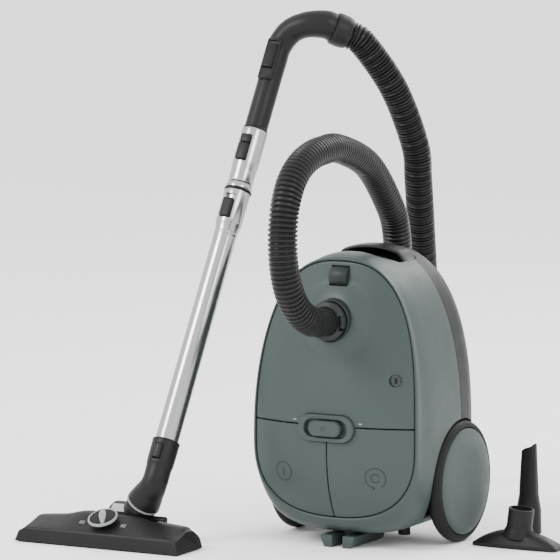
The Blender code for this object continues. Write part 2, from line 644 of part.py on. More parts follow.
# ---------------------------------------------------------------- floor nozzle
def nozzle_neck():
    """Cuff that takes the wand, with the elbow down to the swivel."""
    axis = NECK_AXIS
    spine = [(NECK_PIVOT + axis * (SWIVEL_PLANE + 0.0033), axis, 0.0245),
             (NECK_PIVOT + axis * 0.046, axis, 0.0225),
             (NECK_ELBOW - axis * 0.008, (axis * 0.8 + WAND_DIRECTION * 0.2).normalized(), 0.0200),
             (NECK_ELBOW + WAND_DIRECTION * 0.006, (axis * 0.3 + WAND_DIRECTION * 0.7).normalized(), 0.0185),
             (along_wand(-0.038), WAND_DIRECTION, 0.0185), (along_wand(-0.030), WAND_DIRECTION, 0.0197),
             (along_wand(0.004), WAND_DIRECTION, 0.0200)]
    rings = []
    side = Vector((1, 0, 0))
    for centre, ahead, radius in spine:
        side = (side - ahead * side.dot(ahead)).normalized()
        up = ahead.cross(side)
        rings.append([centre + (side * cos(2 * pi * k / ROUND) + up * sin(2 * pi * k / ROUND)) * radius
                      for k in range(ROUND)])
    neck = loft("nozzle_cuff", rings, "charcoal", NECK_PIVOT)
    boolean(neck, rod("cut_cuff_socket", along_wand(-0.0305), along_wand(0.02), 0.0174, None))
    boolean(neck, rod("cut_cuff_duct", along_wand(-0.045), along_wand(0.0), 0.0140, None, 20))
    boolean(neck, rod("cut_neck_duct", NECK_PIVOT + axis * 0.01, NECK_ELBOW + axis * 0.012, 0.0140, None, 20))
    seat = wand_button("cut_cuff_latch", -0.0245, -0.0035, 0.0178, 0.04, 0.0075, None)
    boolean(neck, seat)
    wand_button("cuff_latch", -0.0237, -0.0043, 0.0192, 0.0230, 0.0068, "charcoal")


def nozzle_drum():
    """Tilting barrel in the head, with the stub that the neck swivels on."""
    half = 0.052
    drum = turned("nozzle_drum", [(0, -half), (0.019, -half), (0.0235, -half + 0.004), (0.0235, 0.012),
                                  (0.021, 0.016), (0.006, 0.016), (0.006, half), (0, half)],
                  NECK_PIVOT, (1, 0, 0), "charcoal")
    stub_end = NECK_PIVOT + NECK_AXIS * (SWIVEL_PLANE - GAP)
    boolean(drum, rod("stub_guide", NECK_PIVOT, stub_end, 0.0225, None), "UNION")
    boolean(drum, rod("cut_drum_duct", NECK_PIVOT - NECK_AXIS * 0.005, NECK_PIVOT + NECK_AXIS * 0.04, 0.0135,
                      None, 20))
    boolean(drum, rod("cut_drum_mouth", NECK_PIVOT, NECK_PIVOT - Vector((0, 0, 0.04)), 0.0135, None, 20))
    turned("drum_ring", [(0.0250, 0.0), (0.0250, 0.0030), (0.0150, 0.0030), (0.0150, 0.0)],
           NECK_PIVOT + NECK_AXIS * SWIVEL_PLANE, NECK_AXIS, "silver plastic")


def head_crest(share):
    """Height of the head's crest: a hump in the middle over nearly level ends."""
    hump = 0.0245 + 0.021 * smooth(1.45 - 1.6 * abs(share))
    ends = 0.0405 - 0.0075 * share ** 2
    return (hump ** 24 + ends ** 24) ** (1 / 24)


def head_section(x, low, inset=0.0):
    """Outline of the head in YZ at a distance across it; its end faces lean inwards."""
    share = (x - HEAD_CENTRE_X) / (HEAD_WIDTH / 2)
    end = smooth((abs(share) - 0.86) / 0.14)
    crest_z = head_crest(share) - 0.004 * end - inset
    shoulder_z = 0.0215 - 0.003 * end - inset
    front, back = HEAD_FRONT_Y + inset, HEAD_BACK_Y - inset
    outline = [(front, low), (front + 0.005, shoulder_z),
               (front + 0.022, shoulder_z + 0.35 * (crest_z - shoulder_z)), (front + 0.046, crest_z),
               (back - 0.012, crest_z - 0.002), (back, shoulder_z - 0.002), (back, low)]
    return [(x - 0.30 * end * share * (z - low), y, z) for y, z in outline]


def head_cover():
    left, right = HEAD_CENTRE_X - HEAD_WIDTH / 2, HEAD_CENTRE_X + HEAD_WIDTH / 2
    stations = [left, left + 0.010, *np.linspace(left + 0.030, right - 0.030, 8), right - 0.010, right]
    cover = loft("head_cover", [head_section(x, SOLE_TOP) for x in stations], "charcoal")
    inside = np.linspace(left + 0.006, right - 0.006, 9)
    boolean(cover, loft("cut_head_hollow", [head_section(x, SOLE_TOP - 0.004, 0.003) for x in inside], None))
    boolean(cover, block("cut_drum_bay", (NECK_PIVOT.x - 0.0530, NECK_PIVOT.y - 0.0300, SOLE_TOP - 0.01),
                         (NECK_PIVOT.x + 0.0530, 0.0, 0.08), None))
    boolean(cover, rod("cut_knob_seat", KNOB_BASE - KNOB_AXIS * 0.030, KNOB_BASE + KNOB_AXIS * 0.03, 0.0085,
                       None, 20))


def sole():
    """Sole with the suction mouth, its two rollers, and the brush strip that drops through it."""
    left, right = HEAD_CENTRE_X - HEAD_WIDTH / 2, HEAD_CENTRE_X + HEAD_WIDTH / 2
    plate = block("sole_plate", (left + 0.001, HEAD_FRONT_Y + 0.001, 0.0),
                  (right - 0.001, HEAD_BACK_Y - 0.0005, SOLE_TOP - GAP), "black", 0.0012)
    tongue = block("tongue_guide", (NECK_PIVOT.x - 0.056, HEAD_BACK_Y - 0.01, 0.0),
                   (NECK_PIVOT.x + 0.056, NECK_PIVOT.y + 0.024, SOLE_TOP - GAP), None)
    boolean(plate, tongue, "UNION")
    boolean(plate, block("cut_mouth", (left + 0.030, -0.232, -0.01), (right - 0.030, -0.218, 0.02), None))
    boolean(plate, block("cut_duct", (NECK_PIVOT.x - 0.030, -0.219, -0.01),
                         (NECK_PIVOT.x + 0.030, -0.206, 0.02), None))
    boolean(plate, block("cut_brush_slot", (left + 0.022, -0.2475, -0.01),
                         (right - 0.022, -0.2385, 0.02), None))
    for side in (-1, 1):
        x = NECK_PIVOT.x + side * 0.046
        boolean(plate, block(f"cut_roller_{side}", (x - 0.0065, -0.2000, -0.01), (x + 0.0065, -0.1855, 0.02),
                             None))
    for side, word in ((-1, "left"), (1, "right")):
        x = NECK_PIVOT.x + side * 0.046
        rod(f"nozzle_roller_{word}", (x - 0.0055, -0.1928, 0.0060), (x + 0.0055, -0.1928, 0.0060), 0.0058,
            "rubber", 20)
    block("brush_strip", (left + 0.024, -0.2466, 0.0035), (right - 0.024, -0.2394, 0.0155), "bristle")


def selector_knob():
    axis = KNOB_AXIS
    knob = turned("selector_knob", [(0, -0.0040), (0.0080, -0.0040), (0.0080, 0.0012), (0.0215, 0.0012),
                                    (0.0225, 0.0030), (0.0215, 0.0055), (0.0185, 0.0045), (0, 0.0045)],
                  KNOB_BASE, axis, "charcoal")
    lever = block("lever_guide", (-0.0042, -0.0195, 0.0030), (0.0042, 0.0195, 0.0085), None, 0.0015)
    side = Vector((0.87, 0.49, 0)).normalized()
    side = (side - axis * side.dot(axis)).normalized()
    lever.matrix_world = Matrix.Translation(KNOB_BASE) @ Matrix(
        (side, axis.cross(side), axis)).transposed().to_4x4()
    return boolean(knob, lever, "UNION")


# ---------------------------------------------------------------- accessories and hose
def upholstery_nozzle():
    """Wide hand nozzle standing on its sole, long side along X, with an arched back and a socket."""
    x, y = UPHOLSTERY_AT
    rings = []
    for i in range(9):
        share = -1 + i / 4
        arch = 0.0065 + 0.0195 * (1 - abs(share) ** 2.2)
        deep = 0.0205 - 0.0045 * abs(share) ** 3
        across = x + share * UPHOLSTERY_HALF
        rings.append([(across, y - deep, 0.0), (across, y + deep, 0.0), (across, y + deep, 0.0055),
                      (across, y + deep * 0.62, arch * 0.86), (across, y, arch),
                      (across, y - deep * 0.62, arch * 0.86), (across, y - deep, 0.0055)])
    nozzle = loft("upholstery_nozzle", rings, "charcoal", (x, y, 0.0))
    low, high = Vector((x, y, 0.0150)), Vector((x, y, 0.0150)) + SOCKET_LEAN * 0.0420
    boolean(nozzle, rod("neck_guide", low, high, 0.0185, None, 20), "UNION")
    boolean(nozzle, rod("cut_upholstery_socket", low + SOCKET_LEAN * 0.014, high + SOCKET_LEAN * 0.02,
                        0.0158, None, 20))
    boolean(nozzle, block("cut_upholstery_mouth", (x - 0.050, y - 0.011, -0.01),
                          (x + 0.050, y + 0.011, 0.009), None))
    boolean(nozzle, block("cut_upholstery_duct", (x - 0.010, y - 0.010, 0.0), (x + 0.010, y + 0.010, 0.036),
                          None))


def crevice_tool():
    """Flat hand nozzle standing on its round socket: it narrows to a slanted slot."""
    x, y = CREVICE_AT
    shapes = ((0.0, 0.0185, 0.0185), (0.034, 0.0180, 0.0180), (0.056, 0.0140, 0.0115),
              (0.090, 0.0125, 0.0090), (0.126, 0.0110, 0.0070))
    outer, inner = [], []
    for rings, wall in ((outer, 0.0), (inner, 0.0018)):
        for height, wide, deep in shapes:
            ring = []
            for k in range(HOOP):
                turn = 2 * pi * k / HOOP
                slant = 0.006 * cos(turn) if height > 0.12 else 0.0
                ring.append((x + (wide - wall) * cos(turn), y + (deep - wall) * sin(turn), height + slant))
            rings.append(ring)
    shell_of("crevice_tool", outer, inner, "charcoal", (x, y, 0.0))


def hose():
    """The whole hose, its end faces square to the inlet and to the handle's swivel."""
    route = curve_points(HOSE_ROUTE, 2.5 * HOSE_RADIUS)
    route.insert(1, route[0] + Vector((0, -SQUARE_END, 0)))
    route.insert(-1, route[-1] + SWIVEL_DIRECTION * SQUARE_END)
    data = bpy.data.curves.new("hose", "CURVE")
    data.dimensions = "3D"
    data.bevel_depth = HOSE_RADIUS
    data.bevel_resolution = 2
    data.render_resolution_u = 0
    data.use_fill_caps = True
    line = data.splines.new("POLY")
    line.points.add(len(route) - 1)
    for spot, point in zip(line.points, route):
        spot.co = (*point, 1.0)
    thing = bpy.data.objects.new("hose", data)
    bpy.context.scene.collection.objects.link(thing)
    data.materials.append(make_material("hose", "charcoal"))


# ---------------------------------------------------------------- derived places
CASTER_SEAT_Y = 0.086
UPHOLSTERY_AT = (0.226, 0.045)
UPHOLSTERY_HALF = 0.066
SOCKET_LEAN = Vector((0.12, 0.0, 1.0)).normalized()
CREVICE_AT = (0.188, 0.160)
CASTER_Z = 0.335
CASTER_POCKET = 0.0375
CASTER_WHEEL_Y = 0.119
CASTER_TRAIL = 0.012
HINGE_POINT = (0, front_y(0, LID_SPLIT_Z) - 0.0003, LID_SPLIT_Z)
PEDAL_HINGE_Y, PEDAL_HINGE_Z = -0.100, 0.050
LENS_X, LENS_Z = 0.099, 0.249
LATCH_LOW, LATCH_HIGH = 0.378, 0.4045
MOTOR_X, MOTOR_Y = -0.040, 0.020
REEL_X, REEL_Z = 0.044, 0.095
BUTTON_SIDE = (Vector((0, -1, 0)) + WAND_DIRECTION * WAND_DIRECTION.y).normalized()
LOCK_START, LOCK_END = 0.395, 0.408
SWIVEL_DIRECTION = Vector((0.738, 0.553, -0.387)).normalized()
HANDLE_END = Vector((-0.1395, 0.169, 0.7250))
HANDLE_BEND = [Vector((-0.2106, 0.1343, 0.6965)), Vector((-0.1975, 0.1455, 0.7185)),
               Vector((-0.174, 0.151, 0.7290)), HANDLE_END - SWIVEL_DIRECTION * 0.012, HANDLE_END]
NECK_AXIS = (NECK_ELBOW - NECK_PIVOT).normalized()
SWIVEL_PLANE = 0.0290
SOLE_TOP = 0.0090
BULKHEAD_Z = 0.1865
KNOB_BASE = Vector((HEAD_CENTRE_X, -0.2310, 0.0390))
KNOB_AXIS = Vector((0, -0.42, 0.907)).normalized()

HOSE_ROUTE = [
    (0.000, -0.1204, 0.330), (0.000, -0.140, 0.3302), (0.000, -0.160, 0.3345), (0.000, -0.181, 0.343),
    (-0.002, -0.2015, 0.3575), (-0.0035, -0.2185, 0.379), (-0.0045, -0.230, 0.405),
    (-0.005, -0.2365, 0.436), (-0.0055, -0.236, 0.470), (-0.006, -0.2285, 0.503),
    (-0.007, -0.212, 0.531), (-0.008, -0.187, 0.552), (-0.0085, -0.155, 0.5655),
    (-0.009, -0.115, 0.572), (-0.010, -0.060, 0.5705), (-0.012, 0.035, 0.5385),
    (-0.016, 0.113, 0.472), (-0.019, 0.140, 0.430), (-0.028, 0.159, 0.385),
    (-0.043, 0.171, 0.335), (-0.058, 0.1765, 0.280), (-0.073, 0.178, 0.220),
    (-0.086, 0.1795, 0.160), (-0.095, 0.188, 0.105), (-0.103, 0.2154, 0.0635),
    (-0.108, 0.2579, 0.0355), (-0.112, 0.308, 0.0255), (-0.116, 0.358, 0.0355),
    (-0.120, 0.4006, 0.0635), (-0.122, 0.428, 0.105), (-0.121, 0.4385, 0.1535),
    (-0.117, 0.4345, 0.205), (-0.111, 0.420, 0.258), (-0.102, 0.3985, 0.309),
    (-0.082, 0.346, 0.414), (-0.068, 0.308, 0.492), (-0.0635, 0.288, 0.545),
    (-0.074, 0.240, 0.631), (-0.103, 0.198, 0.699), (-0.11965, 0.1839, 0.7146)]


# ---------------------------------------------------------------- assembly
def build():
    clear_scene()
    upper_casing()
    lower_casing()
    carry_handle()
    parking_bracket()
    lid_seal()
    cutters = front_cutters()
    dust_lid(cutters)
    lid_fittings()
    hose_cuff()
    pedals(cutters)
    bezel_and_slider()
    bag_chamber()
    motor()
    exhaust()
    cord_reel()
    electronics()
    rear_wheels()
    caster()
    telescopic_tubes()
    handle_grip()
    air_regulator()
    handle_swivel()
    nozzle_neck()
    nozzle_drum()
    head_cover()
    sole()
    selector_knob()
    upholstery_nozzle()
    crevice_tool()
    hose()


build()
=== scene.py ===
import json
from math import atan2, cos, pi, radians, sin

import bmesh
import bpy
from mathutils import Matrix, Vector


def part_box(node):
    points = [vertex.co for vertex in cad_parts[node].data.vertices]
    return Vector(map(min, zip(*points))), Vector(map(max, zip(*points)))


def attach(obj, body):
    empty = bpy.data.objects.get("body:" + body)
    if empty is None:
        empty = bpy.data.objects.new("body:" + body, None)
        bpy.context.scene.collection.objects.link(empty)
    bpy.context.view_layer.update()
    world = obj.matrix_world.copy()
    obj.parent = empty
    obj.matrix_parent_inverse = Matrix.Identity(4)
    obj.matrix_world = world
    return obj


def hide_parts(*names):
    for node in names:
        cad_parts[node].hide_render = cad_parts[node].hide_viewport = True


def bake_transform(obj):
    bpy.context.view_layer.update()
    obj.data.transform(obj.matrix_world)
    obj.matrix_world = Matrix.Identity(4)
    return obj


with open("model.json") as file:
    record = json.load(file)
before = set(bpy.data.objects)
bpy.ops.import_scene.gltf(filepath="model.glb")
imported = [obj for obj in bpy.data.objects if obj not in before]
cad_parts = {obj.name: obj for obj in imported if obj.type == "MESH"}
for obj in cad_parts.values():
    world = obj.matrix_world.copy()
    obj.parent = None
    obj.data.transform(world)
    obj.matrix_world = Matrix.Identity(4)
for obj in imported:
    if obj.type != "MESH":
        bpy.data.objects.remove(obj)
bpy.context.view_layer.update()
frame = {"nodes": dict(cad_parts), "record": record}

# ---------------------------------------------------------------- view (metres; the lens in millimetres)
AZIMUTH, ELEVATION = radians(28.3), radians(6.9)
EYE_DISTANCE = 7.0
EYE_TARGET = Vector((-0.137, 0.0, 0.369))
LENS = 310.5

# ---------------------------------------------------------------- driving dimensions, as in the CAD
BODY_MID_Z, BODY_HALF_WIDTH, BODY_TOP, BODY_BOTTOM = 0.152, 0.134, 0.422, 0.018
BODY_TOP_POWER, BODY_BOTTOM_POWER, BODY_BACK_Y, CASING_SPLIT_Y = 2.35, 3.4, 0.116, 0.045
LID_HALF_WIDTH, LID_TOP, LID_BOTTOM, LID_TOP_POWER, LID_BOTTOM_POWER = 0.127, 0.411, 0.046, 2.65, 2.5
LID_EDGE_Y, LID_SLOPE, LID_SLOPE_Z, LID_SPLIT_Z = -0.090, 0.020, 0.17, 0.180
LID_BULGE, LID_BULGE_POWER = 0.026, 2.4
MOUND_HEIGHT, MOUND_RADIUS, MOUND_SPREAD = 0.0088, 0.0300, 0.030
SHELL, GAP, PLAY = 0.003, 0.0004, 0.0009
WHEEL_RADIUS, WHEEL_Y, WHEEL_INNER_X, WHEEL_OUTER_X, WELL_X = 0.088, 0.050, 0.1125, 0.139, 0.1085
INLET_Z, CUFF_FACE_Y, BEZEL_Z, BEZEL_FACE_Y = 0.330, -0.120, 0.177, -0.1205
HOSE_RADIUS, INLET_HOLE = 0.021, 0.0307
SEAM, PANEL_LIP = 0.0006, 0.0012          # half gap and rounded edge of the lid and the pedals
LENS_X, LENS_Z, LATCH_LOW, LATCH_HIGH = 0.099, 0.249, 0.378, 0.4045
CASTER_SEAT_Y, CASTER_Z, CASTER_POCKET, CASTER_WHEEL_Y, CASTER_TRAIL = 0.086, 0.335, 0.0375, 0.119, 0.012

RING = 160                    # points round a body outline
ROUND = 64                    # points round an ordinary turned piece
SHARP = 0.55                  # edges turning more than this, in radians, stay sharp


def camera():
    """A long lens from the front right, slightly above."""
    data = bpy.data.cameras.new("camera")
    data.lens = LENS
    data.sensor_width = 36.0
    data.clip_end = 200.0
    eye = bpy.data.objects.new("camera", data)
    bpy.context.scene.collection.objects.link(eye)
    away = Vector((sin(AZIMUTH) * cos(ELEVATION), -cos(AZIMUTH) * cos(ELEVATION), sin(ELEVATION)))
    eye.location = EYE_TARGET + away * EYE_DISTANCE
    eye.rotation_euler = (-away).to_track_quat("-Z", "Y").to_euler()
    bpy.context.scene.camera = eye


# ---------------------------------------------------------------- materials
def set_inputs(node, **values):
    for socket, value in values.items():
        node.inputs[socket.replace("_", " ")].default_value = value


class Shader:
    """A Principled material whose colour, roughness and relief come from noise in metres."""

    def __init__(self, name, roughness, **values):
        self.material = bpy.data.materials.new(name)
        self.material.use_nodes = True
        self.tree = self.material.node_tree
        self.main = self.tree.nodes["Principled BSDF"]
        set_inputs(self.main, Roughness=roughness, **values)
        self.place = self.node("TexCoord").outputs["Object"]
        self.relief = None

    def node(self, kind, **values):
        node = self.tree.nodes.new("ShaderNode" + kind)
        set_inputs(node, **values)
        return node

    def link(self, source, node, socket):
        self.tree.links.new(source, node.inputs[socket])

    def noise(self, scale, detail, stretch=None, rough=0.5):
        place = self.place
        if stretch:
            mapping = self.node("Mapping", Scale=stretch)
            self.link(place, mapping, "Vector")
            place = mapping.outputs["Vector"]
        node = self.node("TexNoise", Scale=scale, Detail=detail, Roughness=rough)
        self.link(place, node, "Vector")
        return node.outputs["Fac"]

    def colours(self, source, *stops):
        node = self.node("ValToRGB")
        for element, (spot, colour) in zip(node.color_ramp.elements, stops):
            element.position = spot
            element.color = (*colour, 1.0)
        self.link(source, node, "Fac")
        self.link(node.outputs["Color"], self.main, "Base Color")

    def rough(self, source, low, high):
        node = self.node("MapRange", From_Min=0.3, From_Max=0.7, To_Min=low, To_Max=high)
        self.link(source, node, "Value")
        self.link(node.outputs["Result"], self.main, "Roughness")

    def bump(self, source, depth, strength=1.0):
        node = self.node("Bump", Distance=depth, Strength=strength)
        self.link(source, node, "Height")
        if self.relief:
            self.link(self.relief, node, "Normal")
        self.relief = node.outputs["Normal"]
        self.link(self.relief, self.main, "Normal")


def tint(colour, factor):
    return tuple(c * factor for c in colour)


def moulded(name, colour, roughness, spread, grain=0.00005, grain_scale=1500, coat=0.0):
    """Injection-moulded plastic: faint mottling, a fine eroded grain and uneven gloss."""
    shader = Shader(name, roughness, Coat_Weight=coat, Coat_Roughness=0.35, Specular_IOR_Level=0.16)
    shader.colours(shader.noise(14, 4), (0.3, tint(colour, 1 - spread)), (0.7, tint(colour, 1 + spread)))
    shader.rough(shader.noise(45, 4), roughness - 0.05, roughness + 0.05)
    shader.bump(shader.noise(grain_scale, 2), grain)
    return shader.material


def metal(name, colour, roughness, stretch, depth=0.00001):
    """Metal with fine lines along the tube."""
    shader = Shader(name, roughness, Metallic=1.0)
    shader.colours(shader.noise(9, 2), (0.3, tint(colour, 0.95)), (0.7, tint(colour, 1.04)))
    shader.rough(shader.noise(60, 4, stretch), roughness - 0.02, roughness + 0.02)
    shader.bump(shader.noise(900, 2, stretch), depth)
    return shader.material


def fleece(name, dark, light, scale=900, depth=0.0003):
    """Pressed fibres: a matted surface with darker hollows; the colour reads the same noise as the relief,
    so the darkening is painted shade in the hollows, over the fibres' own uneven tone.
    """
    shader = Shader(name, 0.95, Sheen_Weight=0.25, Sheen_Roughness=0.6)
    # painted shade: this colour noise matches the relief noise below, so the hollows are darker and the
    # raised fibres paler
    shader.colours(shader.noise(scale, 6, None, 0.7), (0.35, dark), (0.65, light))
    shader.bump(shader.noise(scale, 5, None, 0.7), depth)
    shader.bump(shader.noise(60, 3), depth * 3, 0.6)
    return shader.material


SAGE = (0.035, 0.049, 0.0465)
LOOKS = {
    "sage_plastic": lambda: moulded("sage", SAGE, 0.40, 0.03, 0.00004, 1700, 0.05),
    "dark_sage_plastic": lambda: moulded("sage_dark", (0.017, 0.021, 0.0205), 0.40, 0.04),
    "charcoal_plastic": lambda: moulded("charcoal", (0.0085, 0.0085, 0.0089), 0.42, 0.06, 0.00006, 1300),
    "black_plastic": lambda: moulded("black", (0.0040, 0.0040, 0.0042), 0.46, 0.08),
    "flexible_hose": lambda: moulded("hose", (0.0100, 0.0100, 0.0105), 0.34, 0.10, 0.00004, 1100),
    "tyre_rubber": lambda: moulded("tyre", (0.0050, 0.0050, 0.0052), 0.60, 0.12, 0.00010, 900),
    "bright_tube": lambda: metal("bright_tube", (0.36, 0.36, 0.36), 0.22, (1, 1, 1), 0.000002),
    "steel": lambda: metal("steel", (0.32, 0.32, 0.33), 0.32, (1, 1, 0.05)),
    "silver_plastic": lambda: moulded("silver", (0.22, 0.225, 0.23), 0.30, 0.03, 0.00002),
    "white_plastic": lambda: moulded("white", (0.34, 0.34, 0.33), 0.42, 0.03),
    # fleece looks: the first colour is the hollows' colour with painted shade in it, the second is the
    # raised fibres' colour
    "bag_fleece": lambda: fleece("bag", (0.26, 0.24, 0.20), (0.38, 0.36, 0.31)),
    "filter_fleece": lambda: fleece("filter", (0.30, 0.31, 0.32), (0.44, 0.45, 0.46), 1200),
    "circuit_green": lambda: moulded("board", (0.008, 0.055, 0.024), 0.30, 0.25, 0.00003, 400),
    "brush_bristle": lambda: fleece("bristle", (0.004, 0.004, 0.005), (0.020, 0.020, 0.021), 1400, 0.0005),
    "indicator_lens": lambda: moulded("lens", (0.030, 0.038, 0.037), 0.14, 0.06, 0.00001),
}
made = {}


def look(slot):
    """The material of a slot, made when it is first asked for."""
    if slot not in made:
        made[slot] = LOOKS[slot]()
    return made[slot]


# ---------------------------------------------------------------- building blocks
def mesh_object(name, points, faces, flat=False):
    """A smooth-shaded mesh; flat splits twisted faces so that a cut meets flat triangles."""
    mesh = bpy.data.meshes.new(name)
    mesh.from_pydata([Vector(p) for p in points], [], faces)
    work = bmesh.new()
    work.from_mesh(mesh)
    bmesh.ops.remove_doubles(work, verts=work.verts, dist=1e-7)
    bmesh.ops.recalc_face_normals(work, faces=work.faces)
    if flat:
        bmesh.ops.triangulate(work, faces=work.faces)
    work.to_mesh(mesh)
    work.free()
    thing = bpy.data.objects.new(name, mesh)
    bpy.context.scene.collection.objects.link(thing)
    return shade(thing)


def shade(thing, angle=SHARP):
    thing.data.shade_smooth()
    thing.data.set_sharp_from_angle(angle=angle)
    return thing


def settle(thing, angle=SHARP):
    """Applies the modifiers, so that the piece is one plain mesh."""
    depsgraph = bpy.context.evaluated_depsgraph_get()
    mesh = bpy.data.meshes.new_from_object(thing.evaluated_get(depsgraph))
    thing.modifiers.clear()
    thing.data = mesh
    return shade(thing, angle)


def cut(target, *tools, operation="DIFFERENCE"):
    """Takes the tools out of the target, or joins them to it, and deletes them."""
    for tool in tools:
        modifier = target.modifiers.new("cut", "BOOLEAN")
        modifier.operation = operation
        modifier.solver = "EXACT"
        modifier.object = tool
        settle(target)
        bpy.data.objects.remove(tool, do_unlink=True)
    return target


def soften(thing, width, steps=2):
    """Rounds the edges that turn by more than 0.6 radians."""
    modifier = thing.modifiers.new("soften", "BEVEL")
    modifier.width = width
    modifier.segments = steps
    modifier.limit_method = "ANGLE"
    modifier.angle_limit = 0.6
    return settle(thing)


def dress(thing, slot, *nodes):
    """Gives a finished piece its look, and hides the CAD nodes that it stands for."""
    thing.data.materials.clear()
    thing.data.materials.append(look(slot))
    if nodes:
        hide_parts(*nodes)
    return thing


def piece(thing, body, slot, *nodes):
    """Dresses a piece and lets it ride on a body."""
    dress(thing, slot, *nodes)
    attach(thing, body)
    return thing


def skin(rings, closed):
    """Faces between rings of equal length; closed joins the last ring to the first."""
    count = len(rings[0])
    faces = []
    for row in range(len(rings) if closed else len(rings) - 1):
        low, high = row * count, (row + 1) % len(rings) * count
        for i in range(count):
            j = (i + 1) % count
            faces.append([low + i, low + j, high + j, high + i])
    if not closed:
        last = (len(rings) - 1) * count
        faces.append(list(range(count))[::-1])
        faces.append(list(range(last, last + count)))
    return faces


def loft(name, rings, closed=False, flat=False):
    return mesh_object(name, [p for ring in rings for p in ring], skin(rings, closed), flat)


def circle(centre, side, up, radius, count):
    """Points round a circle in the plane of two directions."""
    turns = [2 * pi * k / count for k in range(count)]
    return [centre + (side * cos(turn) + up * sin(turn)) * radius for turn in turns]


def turned(name, corners, softness, start, direction, count, steps=3):
    """Body of revolution round a line, from a closed outline of (radius, distance) corners."""
    axis = Vector(direction).normalized()
    side = axis.orthogonal().normalized()
    up = axis.cross(side)
    return loft(name, [circle(Vector(start) + axis * along, side, up, radius, count)
                       for radius, along in rounded(corners, softness, steps)], closed=True)


def rounded(corners, softness, steps=3):
    """Rounds the corners of a closed outline of pairs; a corner's third number is its own radius."""
    spots = [Vector(corner[:2]) for corner in corners]
    outline = []
    for i, corner in enumerate(spots):
        before, after = spots[i - 1] - corner, spots[(i + 1) % len(spots)] - corner
        radius = corners[i][2] if len(corners[i]) > 2 else softness
        reach = min(radius, before.length * 0.45, after.length * 0.45)
        if corner.x == 0 or reach < 1e-6:
            outline.append(tuple(corner))
            continue
        a, b = corner + before.normalized() * reach, corner + after.normalized() * reach
        for k in range(steps + 1):
            t = k / steps
            outline.append(tuple(a * (1 - t) ** 2 + corner * 2 * t * (1 - t) + b * t * t))
    return outline


def rod(name, start, end, radius, count=ROUND):
    along = Vector(end) - Vector(start)
    corners = [(0, 0), (radius, 0), (radius, along.length), (0, along.length)]
    return turned(name, corners, 0, start, along, count)


def block(name, low, high, bevel=0.0, steps=3):
    (x0, y0, z0), (x1, y1, z1) = low, high
    points = [(x, y, z) for z in (z0, z1) for y in (y0, y1) for x in (x0, x1)]
    faces = [(0, 2, 3, 1), (4, 5, 7, 6), (0, 1, 5, 4), (1, 3, 7, 5), (3, 2, 6, 7), (2, 0, 4, 6)]
    thing = mesh_object(name, points, faces)
    return soften(thing, bevel, steps) if bevel else thing


def smooth(value):
    value = min(1.0, max(0.0, value))
    return value * value * (3 - 2 * value)


def mix(a, b, t):
    return a + (b - a) * t


def powered(value, power):
    """A power that keeps the sign, for outlines between an oval and a box."""
    return abs(value) ** power * (1 if value > 0 else -1)


def catmull_rom(a, b, c, d, t):
    """Value or point between b and c on the Catmull-Rom curve through four."""
    return 0.5 * (2 * b + (c - a) * t + (2 * a - 5 * b + 4 * c - d) * t * t
                  + (3 * b - a - 3 * c + d) * t ** 3)


def curve_points(route, spacing):
    """Evenly spaced points on the Catmull-Rom curve through the route."""
    knots = [Vector(p) for p in route]
    knots = [2 * knots[0] - knots[1]] + knots + [2 * knots[-1] - knots[-2]]
    dense = []
    for four in zip(knots, knots[1:], knots[2:], knots[3:]):
        dense += [catmull_rom(*four, i / 40) for i in range(40)]
    return resample(dense + [knots[-2]], spacing)


def resample(line, spacing):
    """The same line with evenly spaced points."""
    steps = [0.0]
    for a, b in zip(line, line[1:]):
        steps.append(steps[-1] + (b - a).length)
    count = max(2, round(steps[-1] / spacing))
    out, k = [], 0
    for i in range(count + 1):
        want = steps[-1] * i / count
        while k < len(steps) - 2 and steps[k + 1] < want:
            k += 1
        span = steps[k + 1] - steps[k]
        out.append(line[k].lerp(line[k + 1], min(1.0, (want - steps[k]) / span if span else 0.0)))
    return out


def carried_frames(line, side, first=None, last=None):
    """Each point of a line with two directions across it, carried along without a twist."""
    end = len(line) - 1
    out = []
    for i, point in enumerate(line):
        ahead = (line[min(i + 1, end)] - line[max(i - 1, 0)]).normalized()
        if i == 0 and first:
            ahead = first
        if i == end and last:
            ahead = last
        side = (side - ahead * side.dot(ahead)).normalized()
        out.append((point, side, ahead.cross(side)))
    return out


# ---------------------------------------------------------------- body outlines
def egg_radius(angle, half_width, top, bottom, power_top, power_bottom):
    """Distance from the body's middle to an egg-shaped outline at a polar angle."""
    across, up = cos(angle), sin(angle)
    height, power = (top - BODY_MID_Z, power_top) if up >= 0 else (BODY_MID_Z - bottom, power_bottom)
    return (abs(across / half_width) ** power + abs(up / height) ** power) ** (-1 / power)


def body_radius(angle):
    return egg_radius(angle, BODY_HALF_WIDTH, BODY_TOP, BODY_BOTTOM, BODY_TOP_POWER, BODY_BOTTOM_POWER)


def body_top(x):
    """Height of the body's outline above the middle at a distance across it."""
    share = min(0.999, abs(x) / BODY_HALF_WIDTH)
    return BODY_MID_Z + (BODY_TOP - BODY_MID_Z) * (1 - share ** BODY_TOP_POWER) ** (1 / BODY_TOP_POWER)


def lid_radius(angle):
    return egg_radius(angle, LID_HALF_WIDTH, LID_TOP, LID_BOTTOM, LID_TOP_POWER, LID_BOTTOM_POWER)


def lid_edge_y(z):
    return LID_EDGE_Y + LID_SLOPE * smooth((z - LID_SLOPE_Z) / (LID_TOP - LID_SLOPE_Z))


def front_y(x, z):
    """The lid and pedal surface: a dome over the lid's outline."""
    angle = atan2(z - BODY_MID_Z, x)
    share = min(1.0, (x * x + (z - BODY_MID_Z) ** 2) ** 0.5 / lid_radius(angle))
    return lid_edge_y(z) - LID_BULGE * (1 - share ** LID_BULGE_POWER)


